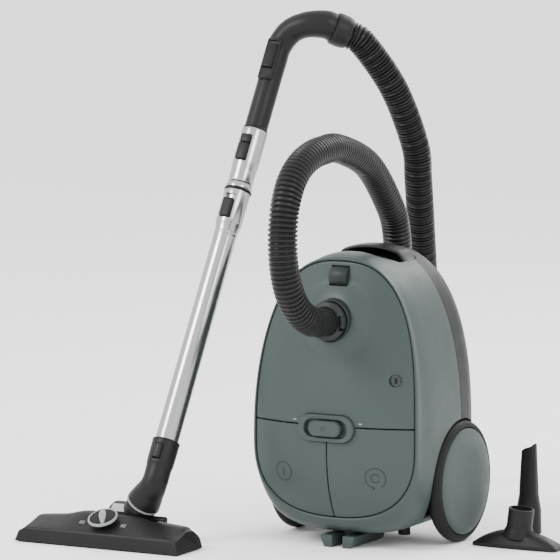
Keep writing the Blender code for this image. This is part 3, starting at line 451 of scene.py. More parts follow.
def body_ring(y, inset=0.0, to_lid=0.0, lid_gap=0.0, lean=0.0):
    """One section of the body across Y, blended towards the lid's outline by to_lid."""
    ring = []
    for i in range(RING):
        angle = 2 * pi * i / RING
        radius = (1 - to_lid) * body_radius(angle) + to_lid * (lid_radius(angle) + lid_gap) - inset
        z = BODY_MID_Z + radius * sin(angle)
        ring.append((radius * cos(angle), y + lean * (lid_edge_y(z) - LID_EDGE_Y), z))
    return ring


def between(stations, steps):
    """Catmull-Rom rows between rows of numbers."""
    rows = [tuple(2 * a - b for a, b in zip(stations[0], stations[1])), *stations,
            tuple(2 * a - b for a, b in zip(stations[-1], stations[-2]))]
    out = []
    for four in zip(rows, rows[1:], rows[2:], rows[3:]):
        out += [tuple(catmull_rom(*column, i / steps) for column in zip(*four)) for i in range(steps)]
    return out + [tuple(stations[-1])]


def wheel_well(side):
    return rod("well", (side * WELL_X, WHEEL_Y, WHEEL_RADIUS), (side * 0.2, WHEEL_Y, WHEEL_RADIUS),
               WHEEL_RADIUS + 0.003, 96)


GRIP_HALF, GRIP_FRONT, GRIP_BACK, GRIP_CORNER, GRIP_FLOOR_Z = 0.058, -0.014, 0.058, 0.019, 0.385


def grip_plan(grow=0.0):
    """Plan of the grip recess: square at the back, with rounded corners at the front."""
    half, front, back, corner = GRIP_HALF + grow, GRIP_FRONT - grow, GRIP_BACK + grow, GRIP_CORNER + grow
    plan = []
    for side, first in ((1, 0), (-1, 90)):
        for k in range(13):
            turn = radians(first + 90 * k / 12)
            plan.append((side * (half - corner) + corner * cos(turn),
                         front + corner - corner * sin(turn)))
    plan += [(-half, back - 0.006), (-half + 0.006, back), (half - 0.006, back), (half, back - 0.006)]
    return plan


def raised(plan, z):
    return [(x, y, z) for x, y in plan]


def grip_cutter():
    return loft("grip", [raised(grip_plan(), GRIP_FLOOR_Z), raised(grip_plan(), 0.45)])


# ---------------------------------------------------------------- casings
def recess_scoop():
    """Slope that leads the fingers down into the grip recess."""
    rings = []
    for i in range(33):
        x = -0.056 + 0.112 * i / 32
        fall = 0.0078 * smooth((0.056 - abs(x)) / 0.030)
        top = body_top(x)
        rings.append([(x, -0.034, top + 0.0005), (x, -0.022, top + 0.0005 - fall * 0.45),
                      (x, -0.008, top - fall), (x, 0.004, top - fall), (x, 0.004, top + 0.03),
                      (x, -0.034, top + 0.03)])
    return loft("scoop", rings, flat=True)


def upper_casing():
    """Green shell from the lid's opening back to the casing split, with its rounded front rim."""
    edge = LID_EDGE_Y
    outer = between([
        (CASING_SPLIT_Y, 0.0008, 0, 0, 0), (CASING_SPLIT_Y - 0.001, 0, 0, 0, 0), (0.010, 0, 0, 0, 0),
        (-0.030, 0, 0, 0, 0), (-0.050, 0.0004, 0.03, 0, 0.12), (-0.066, 0.0012, 0.11, 0.0006, 0.38),
        (-0.077, 0.0010, 0.30, 0.0020, 0.72), (-0.084, 0.0, 0.56, 0.0032, 0.92),
        (-0.0885, 0.0, 0.83, 0.0040, 1.0), (edge - 0.0006, 0, 0.97, 0.0038, 1.0)], 4)
    lip = [(edge - 0.0009, 0, 1, 0.0026, 1), (edge - 0.0003, 0, 1, 0.0015, 1),
           (edge + 0.0010, 0, 1, 0.0009, 1)]
    inner = [(edge + 0.0090, 0, 1, PLAY, 1), (edge + 0.0091, 0, 1, -0.0065, 1),
             (edge + 0.0120, 0, 1, -0.0065, 1), (edge + 0.0121, 0.0026, 0.80, 0.001, 0.95),
             (-0.064, 0.0042, 0.10, 0, 0.38), (-0.030, SHELL, 0, 0, 0), (CASING_SPLIT_Y, SHELL, 0, 0, 0)]
    casing = loft("casing_upper", [body_ring(*row) for row in outer + lip + inner], closed=True, flat=True)
    cut(casing, wheel_well(-1), wheel_well(1), grip_cutter(), recess_scoop(),
        block("cut_grille", (-0.086, -0.030, 0.0), (-0.034, 0.030, 0.030)),
        rod("cut_outlet", (0.066, 0.0, 0.0), (0.066, 0.0, 0.030), 0.0092))
    piece(casing, "cleaner", "sage_plastic", "upper_casing")


def lower_casing():
    """Dark shell that is the underside in use: it carries the wheels and the caster."""
    split = CASING_SPLIT_Y + GAP
    outer = between([(split, 0.0006), (split + 0.0012, 0.0), (0.060, 0.0003), (0.074, 0.0010),
                     (0.085, 0.0032), (0.094, 0.007), (0.102, 0.0125), (0.108, 0.019),
                     (0.1130, 0.0275), (BODY_BACK_Y, 0.038)], 3)
    rings = [body_ring(*row) for row in outer]
    back, middle_z, inside_y = rings[-1], BODY_MID_Z + 0.02, BODY_BACK_Y - SHELL

    def shrunk(share, y):
        return [(x * share, y, middle_z + (z - middle_z) * share) for x, _, z in back]

    rings += [shrunk(0.97, BODY_BACK_Y), shrunk(0.5, BODY_BACK_Y), shrunk(0.0, BODY_BACK_Y),
              shrunk(0.0, inside_y), shrunk(0.5, inside_y)]
    rings += [body_ring(*row) for row in ((inside_y, 0.040), (0.1045, 0.023), (0.092, 0.0105),
                                          (0.073, 0.004), (split, SHELL))]
    casing = loft("casing_lower", rings, closed=True, flat=True)
    cut(casing, wheel_well(-1), wheel_well(1), grip_cutter(),
        rod("cut_pocket", (0, CASTER_SEAT_Y, CASTER_Z), (0, 0.2, CASTER_Z), CASTER_POCKET + 0.0016, 96))
    piece(casing, "cleaner", "charcoal_plastic", "lower_casing")


def wheel_wells():
    """Round walls of the wheel wells, trimmed to the inside of the body."""
    for side, word in ((-1, "left"), (1, "right")):
        wall = turned(f"wheel_well_{word}", [(0, 0), (0.0905, 0), (0.0905, 0.0185), (0.0893, 0.0185),
                                             (0.0893, 0.0012), (0, 0.0012)], 0.0004,
                      (side * (WELL_X - 0.0015), WHEEL_Y, WHEEL_RADIUS), (side, 0, 0), 96)
        keep = loft("keep", [body_ring(y, 0.0012) for y in (-0.06, 0.045, 0.060)]
                    + [body_ring(0.094, 0.009), body_ring(0.110, 0.024), body_ring(0.150, 0.06)], flat=True)
        cut(wall, keep, operation="INTERSECT")
        piece(wall, "cleaner", "black_plastic")


def grip_well():
    """Thin cup that lines the grip recess, up to just below the body's top."""
    outside, inside, middle = grip_plan(-0.0002), grip_plan(-0.0016), grip_plan(-0.02)
    under, floor = GRIP_FLOOR_Z - 0.0004, GRIP_FLOOR_Z + 0.0010
    rims = [[(x, y, body_top(x) - 0.0022) for x, y in plan] for plan in (outside, inside)]
    cup = loft("grip_well", [raised(middle, under), raised(outside, under), *rims,
                             raised(inside, floor), raised(middle, floor)])
    piece(cup, "cleaner", "black_plastic")


def caster_pocket():
    """Round cup in the underside that the caster turns in."""
    outer, depth, wall = CASTER_POCKET + 0.0014, 0.0295, 0.0016
    pocket = turned("caster_pocket", [(0.0062, 0), (outer, 0), (outer, depth), (CASTER_POCKET, depth),
                                      (CASTER_POCKET, wall), (0.0062, wall)], 0.0003,
                    (0, CASTER_SEAT_Y - wall, CASTER_Z), (0, 1, 0), 72)
    piece(pocket, "cleaner", "black_plastic")


def carry_handle():
    """Dark arched grip over the recess, rounded in section and thicker at its roots."""
    rings, count, half_length, middle_y = [], 28, 0.0576, 0.0380
    for i in range(65):
        x = half_length * (i / 32 - 1)
        share = abs(x) / half_length
        top = BODY_TOP + 0.0045 - 0.0125 * share ** 2.2 - 0.0085 * smooth((share - 0.76) / 0.24)
        half_height, half_depth = 0.0036 + 0.0030 * share ** 5, 0.0195 + 0.0004 * share
        turns = [2 * pi * k / count for k in range(count)]
        rings.append([(x, middle_y + half_depth * powered(cos(turn), 0.75),
                       top - half_height + half_height * powered(sin(turn), 0.75)) for turn in turns])
    piece(loft("grip_arch", rings), "cleaner", "charcoal_plastic", "carry_handle")


def parking_bracket():
    """Bracket at the rear end, narrower at its foot, with the slot that parks the floor nozzle."""
    outline = rounded([(-0.0215, 0.0, 0.003), (0.0215, 0.0, 0.003), (0.0275, 0.0172),
                       (-0.0275, 0.0172)], 0.001)
    bracket = loft("bracket", [[(x, y, z) for x, z in outline] for y in (-0.082, -0.080, 0.018, 0.020)])
    cut(bracket, block("slot", (-0.0085, -0.100, -0.01), (0.0085, -0.042, 0.020)))
    soften(bracket, 0.0010)
    piece(bracket, "cleaner", "sage_plastic", "parking_bracket")


# ---------------------------------------------------------------- lid and pedals
def front_surface(x, z):
    """The front dome with its raised mound round the inlet."""
    away = (x * x + (z - INLET_Z) ** 2) ** 0.5
    return front_y(x, z) - MOUND_HEIGHT * (1 - smooth((away - MOUND_RADIUS) / MOUND_SPREAD))


def neighbours(outline):
    """Each point of a closed outline with the points before and after it."""
    return zip(outline[-1:] + outline[:-1], outline, outline[1:] + outline[:1])


def round_corners(outline, passes):
    """Softens a closed 2-D outline by averaging each point with its neighbours."""
    for _ in range(passes):
        outline = [(0.25 * a[0] + 0.5 * b[0] + 0.25 * c[0], 0.25 * a[1] + 0.5 * b[1] + 0.25 * c[1])
                   for a, b, c in neighbours(outline)]
    return outline


def even_outline(outline):
    """The same closed outline with evenly spaced points."""
    line = resample([Vector((x, 0, z)) for x, z in outline + outline[:1]], 0.0012)
    return [(p.x, p.z) for p in line[:-1]]


def inset(outline, distance):
    """The outline moved inwards; it runs anticlockwise seen from the front."""
    moved = []
    for a, b, c in neighbours(outline):
        dx, dz = c[0] - a[0], c[1] - a[1]
        size = (dx * dx + dz * dz) ** 0.5 or 1.0
        moved.append((b[0] - dz / size * distance, b[1] + dx / size * distance))
    return moved


def panel(name, outline, surface, target, rows):
    """Closed shell over an outline: a rounded lip, then rows that run in to the target outline."""
    outline = round_corners(even_outline(outline), 3)
    rings = []
    for distance, fall in ((0.0, 0.0030), (0.0, PANEL_LIP), (PANEL_LIP * 0.30, PANEL_LIP * 0.30),
                           (PANEL_LIP, 0.0)):
        rings.append([(x, surface(x, z) + fall, z) for x, z in inset(outline, distance)])
    edge = inset(outline, PANEL_LIP)
    goal = target(edge)
    for row in range(1, rows + 1):
        spots = [(mix(a[0], b[0], row / rows), mix(a[1], b[1], row / rows)) for a, b in zip(edge, goal)]
        rings.append([(x, surface(x, z), z) for x, z in spots])
    back = [[(x, y + SHELL, z) for x, y, z in ring] for ring in rings[3:][::-4]]
    back.append([(x, surface(x, z) + SHELL, z) for x, z in inset(outline, 0.0004)])
    return loft(name, rings + back, closed=True, flat=True)


def lid_outline(below):
    """Lid outline above or below the seam, anticlockwise seen from the front."""
    arc = []
    for i in range(721):
        angle = 2 * pi * i / 720
        radius = lid_radius(angle) - 0.0003
        arc.append((radius * cos(angle), BODY_MID_Z + radius * sin(angle)))
    if below:
        return [p for p in arc[180:] + arc[1:180] if p[1] < LID_SPLIT_Z - SEAM]
    return [p for p in arc[-90:] + arc[:450] if p[1] > LID_SPLIT_Z + SEAM]


def stadium(name, half_width, half_height, low_y, high_y, z=BEZEL_Z):
    return loft(name, [oval_ring(half_width, half_height, y, z) for y in (low_y, high_y)])


def oval_ring(half_width, half_height, y, z=BEZEL_Z):
    """Outline of an oval with straight sides, facing the front."""
    count, straight = 72, half_width - half_height
    ring = []
    for i in range(count):
        turn = 2 * pi * (i + 0.5) / count
        shift = straight if cos(turn) > 0 else -straight
        ring.append((shift + half_height * cos(turn), y, z + half_height * sin(turn)))
    return ring


def bezel_opening():
    return stadium("oval", 0.0450, 0.0205, -0.16, -0.06)


def dust_lid():
    """The lid above the seam, open at the inlet, the window, the latch and the bezel."""
    def inlet_circle(edge):
        angles = [atan2(z - INLET_Z, x) for x, z in edge]
        return [(INLET_HOLE * cos(angle), INLET_Z + INLET_HOLE * sin(angle)) for angle in angles]

    lid = panel("lid_panel", lid_outline(False), front_surface, inlet_circle, 40)
    cut(lid, bezel_opening(),
        rod("lens_hole", (LENS_X, -0.14, LENS_Z), (LENS_X, 0.0, LENS_Z), 0.0088),
        block("latch_hole", (-0.0145, -0.14, LATCH_LOW - 0.001), (0.0145, -0.04, LATCH_HIGH + 0.001)))
    piece(lid, "lid", "sage_plastic", "dust_lid")


def pedals():
    """The two foot pedals under the seam, each with its raised sign."""
    seam_z, slit = LID_SPLIT_Z - SEAM, SEAM + 0.0001
    for name, side, sign in (("power_pedal", -1, power_sign), ("rewind_pedal", 1, rewind_sign)):
        arc = [p for p in lid_outline(True) if p[0] * side > SEAM]
        if side > 0:
            outline = [(slit, seam_z), (slit, arc[0][1])] + arc + [(arc[-1][0], seam_z)]
        else:
            outline = [(-slit, seam_z), (arc[0][0], seam_z)] + arc
        middle = (side * 0.056, 0.115)
        pedal = panel(name + "_panel", outline, front_y, lambda edge: [middle] * len(edge), 24)
        cut(pedal, bezel_opening())
        piece(pedal, name, "sage_plastic", name)
        sign(name, side * 0.0735)


# ---------------------------------------------------------------- hose
SWIVEL_DIRECTION = Vector((0.738, 0.553, -0.387)).normalized()
HANDLE_END = Vector((-0.1395, 0.169, 0.7250))
HOSE_ROUTE = [
    (0.000, -0.1204, 0.330), (0.000, -0.140, 0.3302), (0.000, -0.160, 0.3345), (0.000, -0.181, 0.343),
    (-0.002, -0.2015, 0.3575), (-0.0035, -0.2185, 0.379), (-0.0045, -0.230, 0.405),
    (-0.005, -0.2365, 0.436), (-0.0055, -0.236, 0.470), (-0.006, -0.2285, 0.503),
    (-0.007, -0.212, 0.531), (-0.008, -0.187, 0.552), (-0.0085, -0.155, 0.5655),
    (-0.009, -0.115, 0.572), (-0.010, -0.060, 0.5705), (-0.012, 0.035, 0.5385),
    (-0.016, 0.113, 0.472), (-0.019, 0.140, 0.430), (-0.028, 0.159, 0.385),
    (-0.043, 0.171, 0.335), (-0.058, 0.1765, 0.280), (-0.073, 0.178, 0.220),
    (-0.086, 0.1795, 0.160), (-0.095, 0.188, 0.105), (-0.103, 0.2154, 0.0635),
    (-0.108, 0.2579, 0.0355), (-0.112, 0.308, 0.0255), (-0.116, 0.358, 0.0355),
    (-0.120, 0.4006, 0.0635), (-0.122, 0.428, 0.105), (-0.121, 0.4385, 0.1535),
    (-0.117, 0.4345, 0.205), (-0.111, 0.420, 0.258), (-0.102, 0.3985, 0.309),
    (-0.082, 0.346, 0.414), (-0.068, 0.308, 0.492), (-0.0635, 0.288, 0.545),
    (-0.074, 0.240, 0.631), (-0.103, 0.198, 0.699), (-0.11965, 0.1839, 0.7146)]
FLOOR_POINT = 26              # the hose's two meshes meet here, where it rests on the floor
RIB_DEPTH = 0.0030
FRONT_PITCH, BACK_PITCH = 0.0066, 0.0048
SLEEVE_LENGTH = 0.036         # smooth end piece at the inlet


def rib_radius(distance, pitch):
    """Hose radius at a distance along it: round-topped ribs with narrow grooves between."""
    phase = abs((distance / pitch) % 1.0 - 0.5) * 2
    return HOSE_RADIUS - RIB_DEPTH * (1 - smooth((0.86 - phase) / 0.42))


def tube_along(name, spine, radius_at):
    """Closed tube round a line; radius_at gives its radius at a distance along it."""
    rings, distance, before = [], 0.0, spine[0]
    for point, side, up in carried_frames(spine, (spine[1] - spine[0]).orthogonal()):
        distance += (point - before).length
        before = point
        rings.append(circle(point, side, up, radius_at(distance), 40))
    return loft(name, rings)


def line_length(line):
    return sum((b - a).length for a, b in zip(line, line[1:]))


def hose():
    """Ribbed hose in two meshes: one hangs from the lid's inlet, one from the wand's swivel."""
    whole = curve_points(HOSE_ROUTE, 0.0011)
    rest = Vector(HOSE_ROUTE[FLOOR_POINT])
    meet = min(range(len(whole)), key=lambda i: (whole[i] - rest).length)
    front, back = whole[:meet + 1], whole[meet:]

    def front_radius(distance):
        if distance < SLEEVE_LENGTH:
            return 0.0202 - 0.0012 * smooth((distance - 0.020) / 0.016)
        return rib_radius(distance - SLEEVE_LENGTH, FRONT_PITCH)

    front_hose = tube_along("hose_front", front, front_radius)
    back_hose = tube_along("hose_back", back, lambda distance: rib_radius(distance, BACK_PITCH))
    dress(front_hose, "flexible_hose", "hose")
    dress(back_hose, "flexible_hose", "hose")
    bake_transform(front_hose)
    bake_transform(back_hose)


# ---------------------------------------------------------------- signs and controls
def ribbon(name, path, width, rise, surface, closed=False):
    """A flat raised line that follows the front surface."""
    count = len(path)
    rings = []
    for i, (x, z) in enumerate(path):
        a = path[(i - 1) % count] if closed or i else path[0]
        b = path[(i + 1) % count] if closed or i < count - 1 else path[-1]
        across = Vector((a[1] - b[1], b[0] - a[0])).normalized() * width / 2
        ring = []
        for side, lift in ((1, -0.0004), (1, rise * 0.6), (0.7, rise),
                           (-0.7, rise), (-1, rise * 0.6), (-1, -0.0004)):
            px, pz = x + across.x * side, z + across.y * side
            ring.append((px, surface(px, pz) - lift, pz))
        rings.append(ring)
    return loft(name, rings, closed=closed)


def arc_path(x, z, radius, start=0.0, end=360.0, steps=48):
    return [(x + radius * cos(radians(mix(start, end, i / steps))),
             z + radius * sin(radians(mix(start, end, i / steps)))) for i in range(steps + 1)]


def line_path(start, end, steps):
    return [(mix(start[0], end[0], i / steps), mix(start[1], end[1], i / steps)) for i in range(steps + 1)]


SIGN_WIDTH, SIGN_RISE, SIGN_Z = 0.0012, 0.00035, 0.109


def raise_sign(body, parts):
    """Dresses a pedal's sign: named paths, drawn as raised lines."""
    for name, path, closed in parts:
        line = ribbon(name, path, SIGN_WIDTH, SIGN_RISE, front_y, closed)
        piece(line, body, "dark_sage_plastic")


def power_sign(body, x):
    """A ring with a bar in it."""
    raise_sign(body, [
        ("power_sign_ring", arc_path(x, SIGN_Z, 0.0135)[:-1], True),
        ("power_sign_bar", line_path((x, SIGN_Z - 0.0070), (x, SIGN_Z + 0.0075), 8), False)])


def rewind_sign(body, x):
    """An open ring with an arrow's tip, round a smaller open ring."""
    radius, tip_angle, barb = 0.0148, 262, 0.0034
    tip = (x + radius * cos(radians(tip_angle)), SIGN_Z + radius * sin(radians(tip_angle)))
    parts = [("rewind_sign_outer", arc_path(x, SIGN_Z, radius, -60, tip_angle), False),
             ("rewind_sign_inner", arc_path(x, SIGN_Z, 0.0062, 20, 330, 32), False)]
    for k, turn in enumerate((150, 215)):
        end = (tip[0] + barb * cos(radians(turn)), tip[1] + barb * sin(radians(turn)))
        parts.append((f"rewind_sign_barb_{k}", line_path(tip, end, 3), False))
    raise_sign(body, parts)


def inlet_collar():
    """Ring in the lid that the hose's plug sits in, with its funnel behind."""
    collar = turned("inlet_ring", [(0.0302, 0.0016), (0.0302, 0.034), (0.0245, 0.034), (0.0180, 0.052),
                                   (0.0160, 0.052), (0.0160, 0.028), (0.0264, 0.026), (0.0278, 0.0004),
                                   (0.0290, 0.0)], 0.0006, (0, -0.1060, INLET_Z), (0, 1, 0), 96)
    piece(collar, "lid", "dark_sage_plastic", "inlet_collar")


def bag_indicator():
    """Round window with a half-disc flag behind its face."""
    lens_y, facing = front_y(LENS_X, LENS_Z), (0.10, 1, 0)
    lens = turned("indicator_window", [(0, -0.0014), (0.0072, -0.0011), (0.0086, -0.0004, 0.0005),
                                       (0.0086, 0.006), (0, 0.006)], 0.0003,
                  (LENS_X, lens_y, LENS_Z), facing, 56)
    piece(lens, "lid", "indicator_lens", "bag_indicator")
    flag = turned("indicator_flag", [(0, -0.0017), (0.0046, -0.0016), (0.0046, 0.0), (0, 0.0)], 0.0002,
                  (LENS_X, lens_y - 0.0002, LENS_Z), facing, 40)
    cut(flag, block("half", (LENS_X - 0.02, -0.2, LENS_Z - 0.02), (LENS_X, 0.0, LENS_Z + 0.02)))
    piece(flag, "lid", "black_plastic")


def lid_latch():
    """Press latch with a hollowed face, drawn in a little at its two sides."""
    outline = [(0.0165, LATCH_LOW + 0.0016), (0.0110, LATCH_LOW + 0.0002), (0.0040, LATCH_LOW),
               (-0.0035, LATCH_LOW + 0.0012), (-0.0064, LATCH_LOW + 0.0050),
               (-0.0066, LATCH_LOW + 0.0110), (-0.0046, LATCH_HIGH - 0.0080),
               (-0.0006, LATCH_HIGH - 0.0030), (0.0060, LATCH_HIGH - 0.0006),
               (0.0120, LATCH_HIGH), (0.0165, LATCH_HIGH - 0.0006)]
    base, middle_y, middle_z = front_y(0, LATCH_LOW), 0.006, (LATCH_LOW + LATCH_HIGH) / 2
    rings = []
    for x in (-0.0136, -0.0128, -0.0118, 0.0118, 0.0128, 0.0136):
        pull = (abs(x) - 0.0118) / 1.8
        rings.append([(x, base + y - pull * 0.8 * (1 if y > middle_y else -1),
                       z - pull * (1 if z > middle_z else -1)) for y, z in outline])
    latch = loft("latch_button", rings)
    modifier = latch.modifiers.new("round", "BEVEL")
    modifier.width, modifier.segments, modifier.angle_limit = 0.0005, 2, 0.9
    piece(settle(latch, 0.9), "latch", "dark_sage_plastic", "lid_latch")


def hose_cuff():
    """Plug on the hose's end that turns in the inlet, with its release button."""
    cuff = turned("cuff_ring", [(0.0255, 0.0265), (0.0255, 0.0034), (0.0272, 0.0034), (0.0284, -0.0030),
        (0.0280, -0.0072, 0.0016), (0.0248, -0.0090), (0.0220, -0.0100), (0.0205, -0.0100),
        (0.0180, -0.0020), (0.0180, 0.0265)], 0.0005, (0, CUFF_FACE_Y + 0.010, INLET_Z), (0, 1, 0), 96)
    cut(cuff, block("notch", (0.0204, -0.1200, INLET_Z - 0.0120), (0.040, -0.1082, INLET_Z + 0.0090)))
    piece(cuff, "hose_plug", "dark_sage_plastic", "hose_cuff")
    button = block("cuff_push", (0.0226, -0.1186, INLET_Z - 0.0084), (0.0284, -0.1086, INLET_Z + 0.0084),
                   0.0012)
    piece(button, "hose_release", "dark_sage_plastic", "cuff_button")


def slider_bezel():
    """Oval bezel across the seam, with the slot that the slider moves in."""
    face, root = BEZEL_FACE_Y, -0.096
    rings = [(0.0440, 0.0195, root), (0.0440, 0.0195, face + 0.0016), (0.0436, 0.0191, face + 0.0006),
             (0.0428, 0.0183, face), (0.0352, 0.0142, face + 0.0002), (0.0346, 0.0136, face + 0.0006),
             (0.0342, 0.0132, face + 0.0014), (0.0340, 0.0130, face + 0.0085),
             (0.0200, 0.0060, face + 0.0085), (0.0200, 0.0060, root)]
    bezel = loft("bezel_ring", [oval_ring(*row) for row in rings], closed=True)
    piece(bezel, "cleaner", "sage_plastic", "slider_bezel")


def suction_slider():
    """Slider with three grip lines, and a small mark at each end of its way."""
    face = BEZEL_FACE_Y
    shape = [(0.0240, 0.0100, 0.0080), (0.0252, 0.0112, 0.0078), (0.0254, 0.0114, -0.0010),
             (0.0250, 0.0110, -0.0032), (0.0238, 0.0098, -0.0046), (0.0215, 0.0075, -0.0050)]
    knob = loft("slider_knob", [oval_ring(wide, tall, face + depth) for wide, tall, depth in shape])
    cut(knob, *[stadium(f"grip_{k}", 0.0042, 0.00045, face - 0.02, face - 0.0044, BEZEL_Z + 0.0022 * k)
                for k in (-1, 0, 1)])
    piece(knob, "suction_slider", "sage_plastic", "power_slider")
    mark_z = LID_SPLIT_Z + 0.0062
    for name, x in (("mark_low", -0.0525), ("mark_high", 0.0525)):
        path = line_path((x - 0.0026, mark_z), (x + 0.0026, mark_z), 4)
        piece(ribbon(name, path, 0.0011, 0.00012, front_surface), "lid", "white_plastic")


# ---------------------------------------------------------------- wheels
def rear_wheels():
    """Large wheels with a tread, a recessed face and a domed hub disc."""
    width = WHEEL_OUTER_X - WHEEL_INNER_X
    for side, word in ((-1, "left"), (1, "right")):
        hub = (side * WHEEL_INNER_X, WHEEL_Y, WHEEL_RADIUS)
        tyre = turned(f"tyre_{word}", [(0.0058, 0.0), (0.066, 0.0), (0.071, 0.0016, 0.004),
            (0.0835, 0.0060, 0.006), (0.0874, 0.0130, 0.003), (WHEEL_RADIUS, 0.0165, 0.002),
            (0.0872, width - 0.0048, 0.003), (0.0846, width - 0.0012, 0.002), (0.0822, width),
            (0.0780, width), (0.0780, width - 0.0060), (0.0058, width - 0.0060)], 0.0006, hub,
            (side, 0, 0), 144, steps=4)
        piece(tyre, f"{word}_wheel", "tyre_rubber", f"wheel_{word}")
        start = (side * (WHEEL_OUTER_X - 0.0058), WHEEL_Y, WHEEL_RADIUS)
        disc = turned(f"hub_disc_{word}", [(0, 0.0), (0.0766, 0.0), (0.0766, 0.0068, 0.0006),
            (0.0752, 0.0079, 0.0010), (0.066, 0.0092, 0.004), (0.050, 0.0101, 0.006),
            (0.025, 0.0106, 0.006), (0, 0.0107)], 0.0004, start, (side, 0, 0), 144, steps=4)
        piece(disc, f"{word}_wheel", "sage_plastic", f"hub_cap_{word}")


# ---------------------------------------------------------------- wand and handle
WAND_DIRECTION = Vector((0.041, 0.471, 0.881)).normalized()
WAND_START = Vector((-0.2364, -0.1624, 0.1415))
BUTTON_SIDE = (Vector((0, -1, 0)) + WAND_DIRECTION * WAND_DIRECTION.y).normalized()
LOCK_START, LOCK_END = 0.395, 0.408
GRIP_WALL = 0.0028
HANDLE_BEND = [Vector((-0.2106, 0.1343, 0.6965)), Vector((-0.1975, 0.1455, 0.7185)),
               Vector((-0.174, 0.151, 0.7290)), HANDLE_END - SWIVEL_DIRECTION * 0.012, HANDLE_END]


def along_wand(distance):
    return WAND_START + WAND_DIRECTION * distance


def stand_on(thing, origin, side, axis):
    """Moves a piece made at the origin: its Z on to the axis, its Y on to the side, square to it."""
    turn = Matrix((side.cross(axis), side, axis)).transposed().to_4x4()
    thing.data.transform(Matrix.Translation(origin) @ turn)
    return thing


def wand_turned(name, corners, softness, count=96):
    return turned(name, corners, softness, WAND_START, WAND_DIRECTION, count)


def wand_slab(name, low, high, near, far, half_width, bevel=0.0, arch=0.0):
    """Rounded slab on the wand; arch lowers its long edges like the tube under it."""
    slab = block(name, (-half_width, near, low), (half_width, far, high), bevel, 4)
    if arch:
        work = bmesh.new()
        work.from_mesh(slab.data)
        wide = [e for e in work.edges if abs(e.verts[0].co.x - e.verts[1].co.x) > half_width]
        bmesh.ops.subdivide_edges(work, edges=wide, cuts=6)
        for corner in work.verts:
            corner.co.y -= arch * (corner.co.x / half_width) ** 2
        work.to_mesh(slab.data)
        work.free()
        shade(slab)
    return stand_on(slab, WAND_START, BUTTON_SIDE, WAND_DIRECTION)


def grooves(first, pitch, count, half_width):
    """Tools for narrow grooves across a button on the wand."""
    starts = [first + pitch * k for k in range(count)]
    return [wand_slab("groove", start, start + 0.0010, 0.0231, 0.03, half_width) for start in starts]


def telescopic_tubes():
    """Outer and inner tube, with the collar and sleeve where one enters the other."""
    start = LOCK_START
    lower = wand_turned("tube_lower", [
        (0.0170, -0.030), (0.0170, 0.326), (0.0174, 0.3275), (0.0174, 0.330), (0.0170, 0.3315, 0.0004),
        (0.0182, 0.340, 0.003), (0.0195, 0.346, 0.002), (0.0195, start), (0.0160, start),
        (0.0160, -0.030)], 0.0004)
    cut(lower, wand_slab("seat", 0.3495, 0.3875, 0.0140, 0.03, 0.0088, 0.0018))
    piece(lower, "cleaner", "bright_tube", "lower_tube")
    collar = wand_turned("tube_collar", [
        (0.0202, start + GAP), (0.0205, start + 0.0012), (0.0205, start + 0.0034),
        (0.0198, start + 0.0042), (0.0160, start + 0.0042), (0.0160, start + GAP)], 0.0006)
    piece(collar, "cleaner", "black_plastic", "tube_lock")
    sleeve = wand_turned("tube_sleeve", [
        (0.0196, start + 0.0044), (0.0196, start + 0.0075), (0.0186, LOCK_END - 0.0005),
        (0.0180, LOCK_END), (0.0160, LOCK_END), (0.0160, start + 0.0044)], 0.0006)
    piece(sleeve, "cleaner", "bright_tube", "tube_lock")
    upper = wand_turned("tube_upper", [
        (0.0152, 0.040), (0.0152, LOCK_END + 0.001), (0.0170, LOCK_END + 0.0014),
        (0.0184, LOCK_END + 0.003), (0.0186, 0.428, 0.003), (0.0195, 0.440, 0.002), (0.0195, 0.4905),
        (0.0191, 0.493), (0.0172, 0.493), (0.0172, 0.430), (0.0140, 0.425), (0.0140, 0.040)], 0.0004)
    cut(upper, wand_slab("seat", 0.4398, 0.4812, 0.0165, 0.03, 0.0086, 0.0018))
    piece(upper, "upper_wand", "bright_tube", "upper_tube")


def wand_buttons():
    """Grooved slide that frees the telescope, and the two-part lock of the handle."""
    slide = wand_slab("slide_button", 0.3508, 0.3792, 0.0163, 0.0236, 0.0083, 0.0020, 0.0010)
    cut(slide, *grooves(0.3560, 0.0032, 6, 0.0055))
    piece(slide, "tube_button", "charcoal_plastic", "telescope_button")
    for name, low, high, far in (("lock_button", 0.4405, 0.4662, 0.0254),
                                 ("lock_button_pad", 0.4668, 0.4805, 0.0244)):
        button = wand_slab(name, low, high, 0.0190, far, 0.0080, 0.0020, 0.0010)
        piece(button, "handle_button", "charcoal_plastic", "handle_lock")


